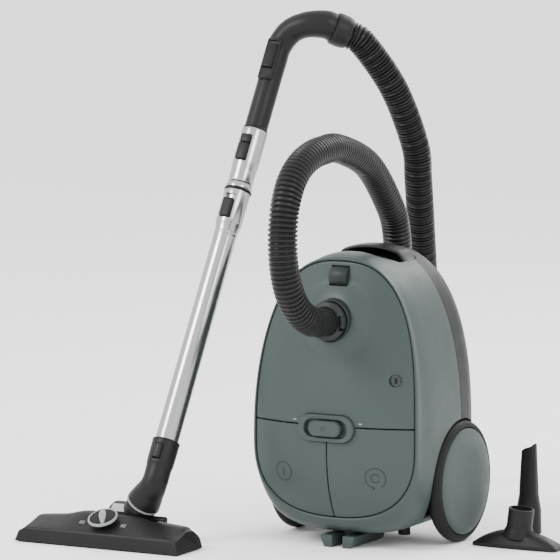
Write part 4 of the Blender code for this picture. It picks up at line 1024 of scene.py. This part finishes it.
def handle_grip():
    """Bent suction handle: a pipe that swells towards its bend, with a ring at its foot."""
    spine = curve_points([along_wand(0.470), along_wand(0.540), along_wand(0.600), *HANDLE_BEND], 0.003)
    foot = 0.0235 / line_length(spine)

    def radius(share):
        if share < foot:
            return 0.0168
        return 0.0171 + 0.0019 * smooth((share - 0.42) * 3.2) + 0.0020 * smooth((share - 0.80) / 0.18)

    outer, inner = [], []
    for i, spot in enumerate(carried_frames(spine, BUTTON_SIDE, last=SWIVEL_DIRECTION)):
        size = radius(i / (len(spine) - 1))
        outer.append(circle(*spot, size, 64))
        inner.append(circle(*spot, size - GRIP_WALL, 64))
    grip = loft("grip_pipe", outer + inner[::-1], closed=True)
    piece(grip, "upper_wand", "charcoal_plastic", "handle_grip")
    ring = wand_turned("grip_foot_ring", [(0.0168, 0.4936), (0.0184, 0.4936), (0.0184, 0.4962),
                                          (0.0176, 0.4972), (0.0168, 0.4972)], 0.0004, 80)
    piece(ring, "upper_wand", "black_plastic")
    housing = wand_slab("valve_housing", 0.5700, 0.6360, 0.0080, 0.0222, 0.0122, 0.0035, 0.0035)
    cut(housing, wand_slab("valve_track", 0.5745, 0.6310, 0.0186, 0.03, 0.0098, 0.0015))
    piece(housing, "upper_wand", "charcoal_plastic")


def air_regulator():
    """Sliding air valve on the outside of the grip, with grooves for the finger."""
    valve = wand_slab("air_valve_cover", 0.5880, 0.6260, 0.0188, 0.0236, 0.0093, 0.0018, 0.0012)
    cut(valve, *grooves(0.5925, 0.0030, 4, 0.0060))
    piece(valve, "air_valve", "black_plastic", "air_regulator")


def handle_swivel():
    """Turning cuff between the handle and the hose, with a small flat catch on its front."""
    axis = SWIVEL_DIRECTION
    cuff = turned("swivel_cuff", [
        (0.0200, 0.0006), (0.0236, 0.0010), (0.0246, 0.0045, 0.002), (0.0246, 0.0190, 0.004),
        (0.0222, 0.0262), (0.0212, 0.0268), (0.0150, 0.0268), (0.0150, 0.0006)], 0.0006,
        HANDLE_END, axis, 96)
    piece(cuff, "hose_swivel", "charcoal_plastic", "handle_swivel")
    front = Vector((0.3, -1.0, 0.35))
    front = (front - axis * front.dot(axis)).normalized()
    catch = block("swivel_catch", (-0.0040, 0.0210, 0.0074), (0.0040, 0.0246, 0.0146), 0.0008)
    piece(stand_on(catch, HANDLE_END, front, axis), "hose_swivel", "charcoal_plastic")


# ---------------------------------------------------------------- floor nozzle
NECK_PIVOT, NECK_ELBOW = Vector((-0.278, -0.180, 0.035)), Vector((-0.239, -0.190, 0.089))
NECK_AXIS = (NECK_ELBOW - NECK_PIVOT).normalized()
SWIVEL_PLANE, SOLE_TOP, SKIRT_FOOT = 0.0290, 0.0090, 0.0014
HEAD_CENTRE_X, HEAD_WIDTH, HEAD_FRONT_Y, HEAD_BACK_Y = -0.300, 0.270, -0.255, -0.180
HEAD_LEFT, HEAD_RIGHT = HEAD_CENTRE_X - HEAD_WIDTH / 2, HEAD_CENTRE_X + HEAD_WIDTH / 2
ROLLER_X = (NECK_PIVOT.x - 0.046, NECK_PIVOT.x + 0.046)
KNOB_BASE = Vector((HEAD_CENTRE_X, -0.2310, 0.0390))
KNOB_AXIS = Vector((0, -0.42, 0.907)).normalized()
MARK_LEAN = 0.42              # radians that the marks lean forwards, about as the cover does there


def nozzle_neck():
    """Cuff that takes the wand, with the elbow that flares down to the swivel."""
    knots = [(NECK_PIVOT + NECK_AXIS * (SWIVEL_PLANE + 0.0033), 0.0245),
             (NECK_PIVOT + NECK_AXIS * 0.040, 0.0236), (NECK_PIVOT + NECK_AXIS * 0.050, 0.0216),
             (NECK_ELBOW - NECK_AXIS * 0.006, 0.0196), (NECK_ELBOW + WAND_DIRECTION * 0.008, 0.0186),
             (along_wand(-0.036), 0.0187), (along_wand(-0.028), 0.0197), (along_wand(-0.010), 0.0200),
             (along_wand(0.004), 0.0200)]
    rows = between([(*spot, radius) for spot, radius in knots], 6)
    frames = carried_frames([Vector(row[:3]) for row in rows], Vector((1, 0, 0)), NECK_AXIS, WAND_DIRECTION)
    neck = loft("neck_elbow", [circle(*spot, row[3], 72) for spot, row in zip(frames, rows)], flat=True)
    cut(neck, rod("socket", along_wand(-0.0305), along_wand(0.02), 0.0173),
        wand_slab("seat", -0.0262, -0.0025, 0.0184, 0.04, 0.0078, 0.0008),
        wand_slab("slot", -0.0296, -0.0262, 0.0181, 0.04, 0.0062))
    piece(neck, "cleaner", "charcoal_plastic", "nozzle_cuff")
    lip = wand_turned("neck_rim", [(0.0174, 0.0036), (0.0203, 0.0036), (0.0206, 0.0050),
                                   (0.0200, 0.0062), (0.0174, 0.0062)], 0.0006, 80)
    piece(lip, "cleaner", "charcoal_plastic")
    latch = wand_slab("neck_latch", -0.0250, -0.0038, 0.0188, 0.0226, 0.0068, 0.0012, 0.0012)
    piece(latch, "nozzle_button", "charcoal_plastic", "cuff_latch")


def nozzle_drum():
    """Tilting barrel in the head, with the stub and ring that the neck swivels on."""
    half, stub_length, duct_radius = 0.052, SWIVEL_PLANE - GAP, 0.0135
    drum = turned("drum_barrel", [(0, -half), (0.006, -half), (0.006, -0.036), (0.0185, -0.036),
                                  (0.0235, -0.030), (0.0235, 0.012), (0.021, 0.016), (0.006, 0.016),
                                  (0.006, half), (0, half)], 0.0010, NECK_PIVOT, (1, 0, 0), 80)
    stub = turned("stub", [(0, 0), (0.0225, 0), (0.0225, 0.0210), (0.0212, 0.0250),
                           (0.0212, stub_length), (0, stub_length)], 0.0008, NECK_PIVOT, NECK_AXIS, 80)
    cut(drum, stub, operation="UNION")
    cut(drum, rod("duct", NECK_PIVOT - NECK_AXIS * 0.005, NECK_PIVOT + NECK_AXIS * (stub_length + 0.02),
                  duct_radius),
        rod("mouth", NECK_PIVOT, NECK_PIVOT - Vector((0, 0, 0.04)), duct_radius))
    piece(drum, "nozzle_joint", "charcoal_plastic", "nozzle_drum")
    ring = turned("swivel_ring", [(0.0250, 0.0), (0.0250, 0.0030), (0.0150, 0.0030), (0.0150, 0.0)],
                  0.0006, NECK_PIVOT + NECK_AXIS * SWIVEL_PLANE, NECK_AXIS, 96)
    piece(ring, "nozzle_joint", "silver_plastic", "drum_ring")


def drum_painted_highlight():
    """Painted highlight on the drum: a pale band on its upper front, where the light catches the dark
    barrel, cut from a thin ring.
    """
    window = turned("drum_painted_highlight", [(0.0228, -0.028), (0.0240, -0.028), (0.0240, 0.000),
                                    (0.0228, 0.000)], 0.0003, NECK_PIVOT, (1, 0, 0), 80)
    # the cuts leave the band 12 to 21 mm above the pivot, on the upper front, where the white ring stands
    # in as painted highlight
    cut(window, block("lower_half", (-0.4, -0.30, -0.02), (-0.2, -0.10, NECK_PIVOT.z + 0.0120)),
        block("crown", (-0.4, -0.30, NECK_PIVOT.z + 0.0212), (-0.2, -0.10, 0.2)),
        block("back_half", (-0.4, NECK_PIVOT.y - 0.004, -0.02), (-0.2, 0.0, 0.2)))
    piece(window, "nozzle_joint", "white_plastic")


def head_crest(share):
    """Height of the head's crest: a hump in the middle over nearly level ends."""
    hump = 0.0245 + 0.021 * smooth(1.45 - 1.6 * abs(share))
    ends = 0.0405 - 0.0075 * share ** 2
    return (hump ** 24 + ends ** 24) ** (1 / 24)


def head_section(x, low, inward):
    """Rounded outline of the head in YZ at a distance across it; its ends lean inwards."""
    share = (x - HEAD_CENTRE_X) / (HEAD_WIDTH / 2)
    end = smooth((abs(share) - 0.86) / 0.14)
    left_end = smooth((-share - 0.88) / 0.12)
    crest_z = head_crest(share) - 0.004 * end - 0.0090 * left_end - inward
    shoulder_z = 0.0215 - 0.003 * end - 0.0020 * left_end - inward
    front, back = HEAD_FRONT_Y + inward, HEAD_BACK_Y - inward
    corners = [(front, low, 0.0006), (front + 0.0040, shoulder_z, 0.0028),
               (front + 0.022, mix(shoulder_z, crest_z, 0.42), 0.012),
               (front + 0.046, crest_z, 0.010), (back - 0.012, crest_z - 0.002, 0.006),
               (back, shoulder_z - 0.002, 0.003), (back, low, 0.0006)]
    return [(x - 0.30 * end * share * (z - low), y, z) for y, z in rounded(corners, 0, 5)]


def lay_on(thing, ground):
    """Lowers a small mark on to the surface below it."""
    depsgraph = bpy.context.evaluated_depsgraph_get()
    depsgraph.update()
    middle = sum((v.co for v in thing.data.vertices), Vector()) / len(thing.data.vertices)
    hit, spot, _, _ = ground.ray_cast(middle + Vector((0, 0, 0.05)), Vector((0, 0, -1)))
    if hit:
        thing.data.transform(Matrix.Translation((0, 0, spot.z - middle.z)))


def head_cover():
    """Shell of the floor nozzle: hollow, with a bay for the drum and a seat for the knob."""
    stations = [HEAD_LEFT + 0.0006, HEAD_LEFT + 0.0014]
    stations += [mix(HEAD_LEFT + 0.003, HEAD_RIGHT - 0.003, i / 84) for i in range(85)]
    stations += [HEAD_RIGHT - 0.0014, HEAD_RIGHT - 0.0006]
    ends = (stations[0], stations[-1])
    cover = loft("head_shell", [head_section(x, SKIRT_FOOT, 0.0006 if x in ends else 0.0)
                                for x in stations], flat=True)
    inside = [mix(HEAD_LEFT + 0.0045, HEAD_RIGHT - 0.0045, i / 40) for i in range(41)]
    cut(cover, loft("hollow", [head_section(x, SKIRT_FOOT - 0.004, 0.0024) for x in inside], flat=True),
        block("bay", (NECK_PIVOT.x - 0.0530, NECK_PIVOT.y - 0.0300, SOLE_TOP - 0.01),
              (NECK_PIVOT.x + 0.0530, 0.0, 0.08)),
        rod("knob_seat", KNOB_BASE - KNOB_AXIS * 0.030, KNOB_BASE + KNOB_AXIS * 0.03, 0.0085))
    piece(cover, "nozzle_head", "charcoal_plastic", "head_cover")
    for name, x in (("mark_carpet", -0.0345), ("mark_floor", 0.0335)):
        for k in range(3):
            strip = block(f"{name}_{k}", (-0.0042, -0.0005, -0.0003), (0.0042, 0.0005, 0.00025))
            spot = KNOB_BASE + Vector((x, -0.0008 + 0.0020 * (k - 1), 0.0))
            strip.data.transform(Matrix.Translation(spot) @ Matrix.Rotation(MARK_LEAN, 4, "X"))
            lay_on(strip, cover)
            piece(strip, "nozzle_head", "silver_plastic")


def sole_plate():
    """Plate under the head, open at the suction mouth, the brush and the two rollers."""
    plate = block("sole", (HEAD_LEFT + 0.0050, HEAD_FRONT_Y + 0.0027, 0.0),
                  (HEAD_RIGHT - 0.0050, HEAD_BACK_Y - 0.0027, SOLE_TOP - GAP))
    cut(plate, block("tongue", (NECK_PIVOT.x - 0.056, HEAD_BACK_Y - 0.01, 0.0),
                     (NECK_PIVOT.x + 0.056, NECK_PIVOT.y + 0.024, SOLE_TOP - GAP)), operation="UNION")

    def slot(low_x, high_x, low_y, high_y, top=0.02):
        return block("slot", (low_x, low_y, -0.01), (high_x, high_y, top))

    cut(plate, slot(HEAD_LEFT + 0.030, HEAD_RIGHT - 0.030, -0.232, -0.218),
        slot(NECK_PIVOT.x - 0.030, NECK_PIVOT.x + 0.030, -0.219, -0.206),
        slot(HEAD_LEFT + 0.022, HEAD_RIGHT - 0.022, -0.2475, -0.2385),
        *[slot(x - 0.0065, x + 0.0065, -0.2000, -0.1855) for x in ROLLER_X],
        *[slot(HEAD_LEFT + 0.034, HEAD_RIGHT - 0.034, y, y + 0.0050, 0.0009) for y in (-0.2156, -0.2375)])
    soften(plate, 0.0008)
    piece(plate, "nozzle_head", "black_plastic", "sole_plate")


def nozzle_rollers():
    for x, word in zip(ROLLER_X, ("left", "right")):
        roller = turned(f"roller_{word}", [(0, 0), (0.0058, 0), (0.0058, 0.011), (0, 0.011)], 0.0012,
                        (x - 0.0055, -0.1928, 0.0060), (1, 0, 0), 40)
        piece(roller, f"{word}_roller", "tyre_rubber", f"nozzle_roller_{word}")


def brush():
    """Two rows of tapered bristle tufts under their carrier."""
    points, faces, tufts = [], [], 74
    for row in range(2):
        y = -0.2446 + 0.0032 * row
        for k in range(tufts):
            x = mix(HEAD_LEFT + 0.0260, HEAD_RIGHT - 0.0260, k / (tufts - 1)) + 0.0008 * row
            rings = [[(x + size * cos(pi * i / 3), y + size * 0.8 * sin(pi * i / 3), z) for i in range(6)]
                     for z, size in ((0.0112, 0.0009), (0.0035, 0.0014))]
            faces += [[len(points) + i for i in face] for face in skin(rings, False)]
            points += rings[0] + rings[1]
    piece(mesh_object("brush_tufts", points, faces), "brush", "brush_bristle", "brush_strip")
    carrier = block("brush_carrier", (HEAD_LEFT + 0.024, -0.2466, 0.0108),
                    (HEAD_RIGHT - 0.024, -0.2394, 0.0155), 0.0005)
    piece(carrier, "brush", "black_plastic", "brush_strip")


def selector_knob():
    """Round knob on the head: a disc, a pale ring and a tapered lever across them."""
    disc = turned("knob_disc", [(0, -0.0040), (0.0080, -0.0040), (0.0080, 0.0012), (0.0190, 0.0012),
                                (0.0190, 0.0040), (0.0120, 0.0046), (0, 0.0048)], 0.0005,
                  KNOB_BASE, KNOB_AXIS, 80)
    ring = turned("knob_ring", [(0.0192, 0.0012), (0.0217, 0.0012), (0.0224, 0.0030), (0.0214, 0.0052),
                                (0.0200, 0.0056), (0.0192, 0.0048)], 0.0007, KNOB_BASE, KNOB_AXIS, 80)
    rings = []
    for i in range(13):
        share = i / 6 - 1
        half = 0.0052 * (1 - 0.55 * share * share) * (1 + 0.22 * share)
        top, foot = 0.0084 - 0.0028 * share * share, 0.0040
        rings.append([(half * across, share * 0.0186, z) for across, z in (
            (-1, foot), (-0.95, top - 0.0010), (-0.55, top), (0.55, top), (0.95, top - 0.0010), (1, foot))])
    lever = loft("knob_lever", rings)
    across = Vector((0.87, 0.49, 0))
    across = (across - KNOB_AXIS * across.dot(KNOB_AXIS)).normalized()
    stand_on(lever, KNOB_BASE, KNOB_AXIS.cross(across), KNOB_AXIS)
    piece(disc, "surface_selector", "black_plastic", "selector_knob")
    piece(ring, "surface_selector", "silver_plastic", "selector_knob")
    piece(shade(lever, 0.9), "surface_selector", "silver_plastic", "selector_knob")


# ---------------------------------------------------------------- hand tools beside the machine
UPHOLSTERY_AT, UPHOLSTERY_HALF = (0.226, 0.045), 0.066
SOCKET_LEAN = Vector((0.12, 0.0, 1.0)).normalized()
CREVICE_AT = (0.188, 0.160)


def upholstery_nozzle():
    """Wide hand nozzle standing on its sole, with an arched back and a leaning socket."""
    x, y = UPHOLSTERY_AT
    rings = []
    for i in range(65):
        share = i / 32 - 1
        end = 1 - 0.10 * smooth((abs(share) - 0.955) / 0.045)
        arch = (0.0065 + 0.0195 * (1 - abs(share) ** 2.2)) * end
        deep = (0.0205 - 0.0045 * abs(share) ** 3) * end
        across = x + share * UPHOLSTERY_HALF
        section = rounded([(-deep, 0.0, 0.0008), (-deep, 0.0052 * end, 0.0016),
                           (-deep * 0.66, arch * 0.82, 0.0050), (0.0, arch, 0.0060),
                           (deep * 0.66, arch * 0.82, 0.0050), (deep, 0.0052 * end, 0.0016),
                           (deep, 0.0, 0.0008)], 0.001, 4)
        rings.append([(across, y + depth, z) for depth, z in section])
    nozzle = loft("upholstery_shell", rings, flat=True)
    low = Vector((x, y, 0.0150))
    socket = turned("socket", [(0, 0), (0.0235, 0.0), (0.0205, 0.0105, 0.006), (0.0186, 0.0150, 0.003),
        (0.0185, 0.0385), (0.0188, 0.0395), (0.0188, 0.0415), (0.0180, 0.0420), (0, 0.0420)], 0.0006, low,
        SOCKET_LEAN, 80)
    cut(nozzle, socket, operation="UNION")
    cut(nozzle, rod("bore", low + SOCKET_LEAN * 0.014, low + SOCKET_LEAN * 0.062, 0.0158),
        block("mouth", (x - 0.050, y - 0.011, -0.01), (x + 0.050, y + 0.011, 0.009)),
        block("duct", (x - 0.010, y - 0.010, 0.0), (x + 0.010, y + 0.010, 0.036)),
        *[block("end_slot", (x + left, y - 0.0022, -0.01), (x + right, y + 0.0022, 0.0016))
          for left, right in ((-0.08, -0.052), (0.052, 0.08))])
    piece(nozzle, "upholstery_tool", "charcoal_plastic", "upholstery_nozzle")
    for k, side in enumerate((-1, 1)):
        strip = block(f"lint_strip_{k}", (x - 0.046, y + side * 0.0150 - 0.0016, 0.0),
                      (x + 0.046, y + side * 0.0150 + 0.0016, 0.0012), 0.0003)
        piece(strip, "upholstery_tool", "brush_bristle")


def crevice_tool():
    """Flat hand nozzle standing on its round socket; it narrows to a slanted slot."""
    x, y = CREVICE_AT
    knots = between([
        (0.0, 0.0183, 0.0183, 0.0), (0.0016, 0.0186, 0.0186, 0.0), (0.0040, 0.0186, 0.0186, 0.0),
        (0.0325, 0.0181, 0.0181, 0.0), (0.0345, 0.0179, 0.0178, 0.05), (0.0560, 0.0140, 0.0115, 0.75),
        (0.0640, 0.0136, 0.0108, 0.9), (0.0900, 0.0125, 0.0090, 1.0), (0.1225, 0.0112, 0.0071, 1.0),
        (0.1250, 0.0111, 0.0070, 1.0), (0.1260, 0.0108, 0.0067, 1.0)], 3)
    turns = [2 * pi * (k + 0.5) / 80 for k in range(80)]

    def ring(height, wide, deep, flatness, wall):
        power, slant = mix(1.0, 0.62, flatness), 0.006 * smooth((height - 0.100) / 0.026)
        return [(x + (wide - wall) * powered(cos(turn), power),
                 y + (deep - wall) * powered(sin(turn), power),
                 height + slant * cos(turn)) for turn in turns]

    outer, inner = [[ring(*knot, wall) for knot in knots] for wall in (0.0, 0.0018)]
    tube = loft("crevice_shell", outer + inner[::-1], closed=True, flat=True)
    tube.data.flip_normals()          # the automatic choice points inwards on this slender tube
    piece(tube, "crevice_tool", "charcoal_plastic", "crevice_tool")


# ---------------------------------------------------------------- dust bag and filters
PLEAT_STEPS = 8               # points along one pleat


def pillow(name, box, power, lumps, pleats, columns, rows):
    """A stuffed box: full in the middle, creased where pleats are wanted, thin at its seams."""
    low, high = box
    middle = [(a + b) / 2 for a, b in zip(low, high)]
    half = [(b - a) / 2 for a, b in zip(low, high)]
    rings = []
    for i in range(1, rows):
        tall = pi * (i / rows - 0.5)
        level, round_off = sin(tall), abs(cos(tall)) ** (2 / power)
        ring = []
        for k in range(columns):
            turn = 2 * pi * k / columns
            crease = 0.5 + 0.5 * sin(pleats * turn + 2.2 * level)
            crease += 0.6 * (0.5 + 0.5 * sin(7.3 * level + 3 * turn))
            reach = round_off * (1 - lumps * crease * (1 - abs(level)))
            ring.append((middle[0] + half[0] * powered(cos(turn), 2 / power) * reach,
                         middle[1] + half[1] * powered(sin(turn), 2 / power) * reach,
                         middle[2] + half[2] * powered(level, 2 / power)))
        rings.append(ring)
    return loft(name, rings)


def dust_bag():
    """Fleece bag in its chamber: full, creased, with its card and mouth at the inlet."""
    bag = pillow("bag_body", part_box("dust_bag"), 4.2, 0.045, 5, 120, 72)
    cut(bag, rod("mouth", (0, -0.1, INLET_Z), (0, -0.020, INLET_Z), 0.0185))
    piece(bag, "cleaner", "bag_fleece", "dust_bag")
    card = block("bag_card", *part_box("bag_holder"), 0.0016)
    cut(card, rod("mouth", (0, -0.1, INLET_Z), (0, 0.0, INLET_Z), 0.020))
    piece(card, "cleaner", "white_plastic", "bag_holder")


def exhaust_filter():
    """Pleated paper in its frame."""
    low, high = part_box("exhaust_filter")
    count, wall, edge, rows = 13 * PLEAT_STEPS, 0.0016, 0.0022, []
    for i in range(count + 1):
        x = mix(low.x + edge, high.x - edge, i / count)
        wave = 0.5 + 0.5 * cos(2 * pi * i / PLEAT_STEPS)
        z = mix(low.z + 0.0012, high.z - 0.0012 - wall, wave)
        rows.append([(x, low.y + edge, z), (x, high.y - edge, z), (x, high.y - edge, z + wall),
                     (x, low.y + edge, z + wall)])
    pleated = loft("pleated_paper", rows)
    piece(pleated, "cleaner", "filter_fleece", "exhaust_filter")
    holder, margin = block("filter_frame", low, high), Vector((0.0020, 0.0020, -0.01))
    cut(holder, block("inside", low + margin, high - margin))
    soften(holder, 0.0005)
    piece(holder, "cleaner", "white_plastic", "exhaust_filter")


def motor_filter():
    pad = pillow("motor_pad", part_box("motor_filter"), 9.0, 0.012, 9, 96, 40)
    piece(pad, "cleaner", "filter_fleece", "motor_filter")


def caster():
    """Swivelling fork with its small wheel, in the pocket of the underside."""
    pivot = Vector((0, CASTER_SEAT_Y, CASTER_Z))
    axle = pivot + Vector((0, CASTER_WHEEL_Y - CASTER_SEAT_Y, CASTER_TRAIL))
    fork = turned("fork", [(0, -0.012), (0.0052, -0.012), (0.0052, 0.0004), (0.034, 0.0004),
        (0.034, 0.0036, 0.0012), (0.030, 0.0045), (0, 0.0045)], 0.0006, pivot, (0, 1, 0), 96)
    for side in (-1, 1):
        x0, x1 = sorted((side * 0.0088, side * 0.0120))
        cheek = block("cheek", (x0, CASTER_SEAT_Y + 0.002, axle.z - 0.011),
                      (x1, CASTER_WHEEL_Y + 0.008, axle.z + 0.011), 0.0014)
        cut(fork, cheek, operation="UNION")
    cut(fork, rod("axle", axle - Vector((0.0105, 0, 0)), axle + Vector((0.0105, 0, 0)), 0.0025),
        operation="UNION")
    piece(fork, "caster_fork", "charcoal_plastic", "caster_fork")
    wheel = turned("small_wheel", [(0.0032, -0.0078), (0.0150, -0.0078), (0.0158, -0.0070),
        (0.0176, -0.0074, 0.001), (0.0190, -0.0050, 0.0014), (0.0190, 0.0050, 0.0014),
        (0.0176, 0.0074, 0.001), (0.0158, 0.0070), (0.0150, 0.0078), (0.0032, 0.0078)], 0.0004, axle,
        (1, 0, 0), 80)
    piece(wheel, "caster_wheel", "tyre_rubber", "caster_wheel")


def vents():
    """Exhaust grille and cord outlet, at the rear end of the upper casing."""
    low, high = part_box("exhaust_grille")
    grille = block("grille", low, high)
    for i in range(6):
        x = -0.080 + i * 0.008
        cut(grille, block("bar", (x - 0.0022, low.y + 0.0055, 0.0), (x + 0.0022, high.y - 0.0055, 0.03)))
    soften(grille, 0.0005)
    piece(grille, "cleaner", "charcoal_plastic", "exhaust_grille")
    low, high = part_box("cord_outlet")
    outlet = turned("outlet", [(0.0060, 0.0012), (0.0072, 0.0), (0.0088, 0.0), (0.0088, high.z - low.z),
        (0.0060, high.z - low.z)], 0.0005, ((low.x + high.x) / 2, (low.y + high.y) / 2, low.z), (0, 0, 1),
        64)
    piece(outlet, "cleaner", "black_plastic", "cord_outlet")


def interior():
    """The CAD's own inner pieces keep their shapes and take the material of their slot."""
    for row in frame["record"]["subparts"]:
        thing = frame["nodes"][row["node"]]
        thing.data.materials.clear()
        thing.data.materials.append(look(row["material_slot"]))


# ---------------------------------------------------------------- floor and light
def area_light(name, place, aim, size, power):
    data = bpy.data.lights.new(name, "AREA")
    data.size = size
    data.energy = power
    lamp = bpy.data.objects.new(name, data)
    lamp.location = place
    lamp.rotation_euler = (Vector(aim) - Vector(place)).to_track_quat("-Z", "Y").to_euler()
    bpy.context.scene.collection.objects.link(lamp)


def studio():
    """Pale floor that runs past the picture, an even white sky and three soft lamps."""
    reach, height = 60, -0.0004           # just under the pieces that stand on it
    points = [(x * reach, y * reach, height) for x, y in ((-1, -1), (1, -1), (1, 1), (-1, 1))]
    floor = mesh_object("floor", points, [(0, 1, 2, 3)])
    shader = Shader("floor", 0.8)
    shader.colours(shader.noise(2, 3), (0.3, (0.95, 0.95, 0.95)), (0.7, (0.97, 0.97, 0.97)))
    floor.data.materials.append(shader.material)
    world = bpy.data.worlds.new("studio")
    world.use_nodes = True
    set_inputs(world.node_tree.nodes["Background"], Color=(1.0, 1.0, 1.0, 1.0), Strength=2.0)
    bpy.context.scene.world = world
    area_light("key", (-1.8, -2.6, 2.6), (0, 0, 0.25), 1.3, 120)
    area_light("right", (2.6, -1.2, 2.4), (0, 0, 0.25), 1.2, 45)
    area_light("back", (0.6, 2.4, 2.2), (0, 0, 0.3), 1.6, 50)


camera()
interior()
upper_casing()
lower_casing()
wheel_wells()
grip_well()
caster_pocket()
carry_handle()
parking_bracket()
dust_lid()
inlet_collar()
bag_indicator()
lid_latch()
hose_cuff()
slider_bezel()
suction_slider()
pedals()
dust_bag()
exhaust_filter()
motor_filter()
rear_wheels()
caster()
vents()
telescopic_tubes()
wand_buttons()
handle_grip()
air_regulator()
handle_swivel()
nozzle_neck()
nozzle_drum()
drum_painted_highlight()
head_cover()
sole_plate()
nozzle_rollers()
brush()
selector_knob()
upholstery_nozzle()
crevice_tool()
hose()
studio()
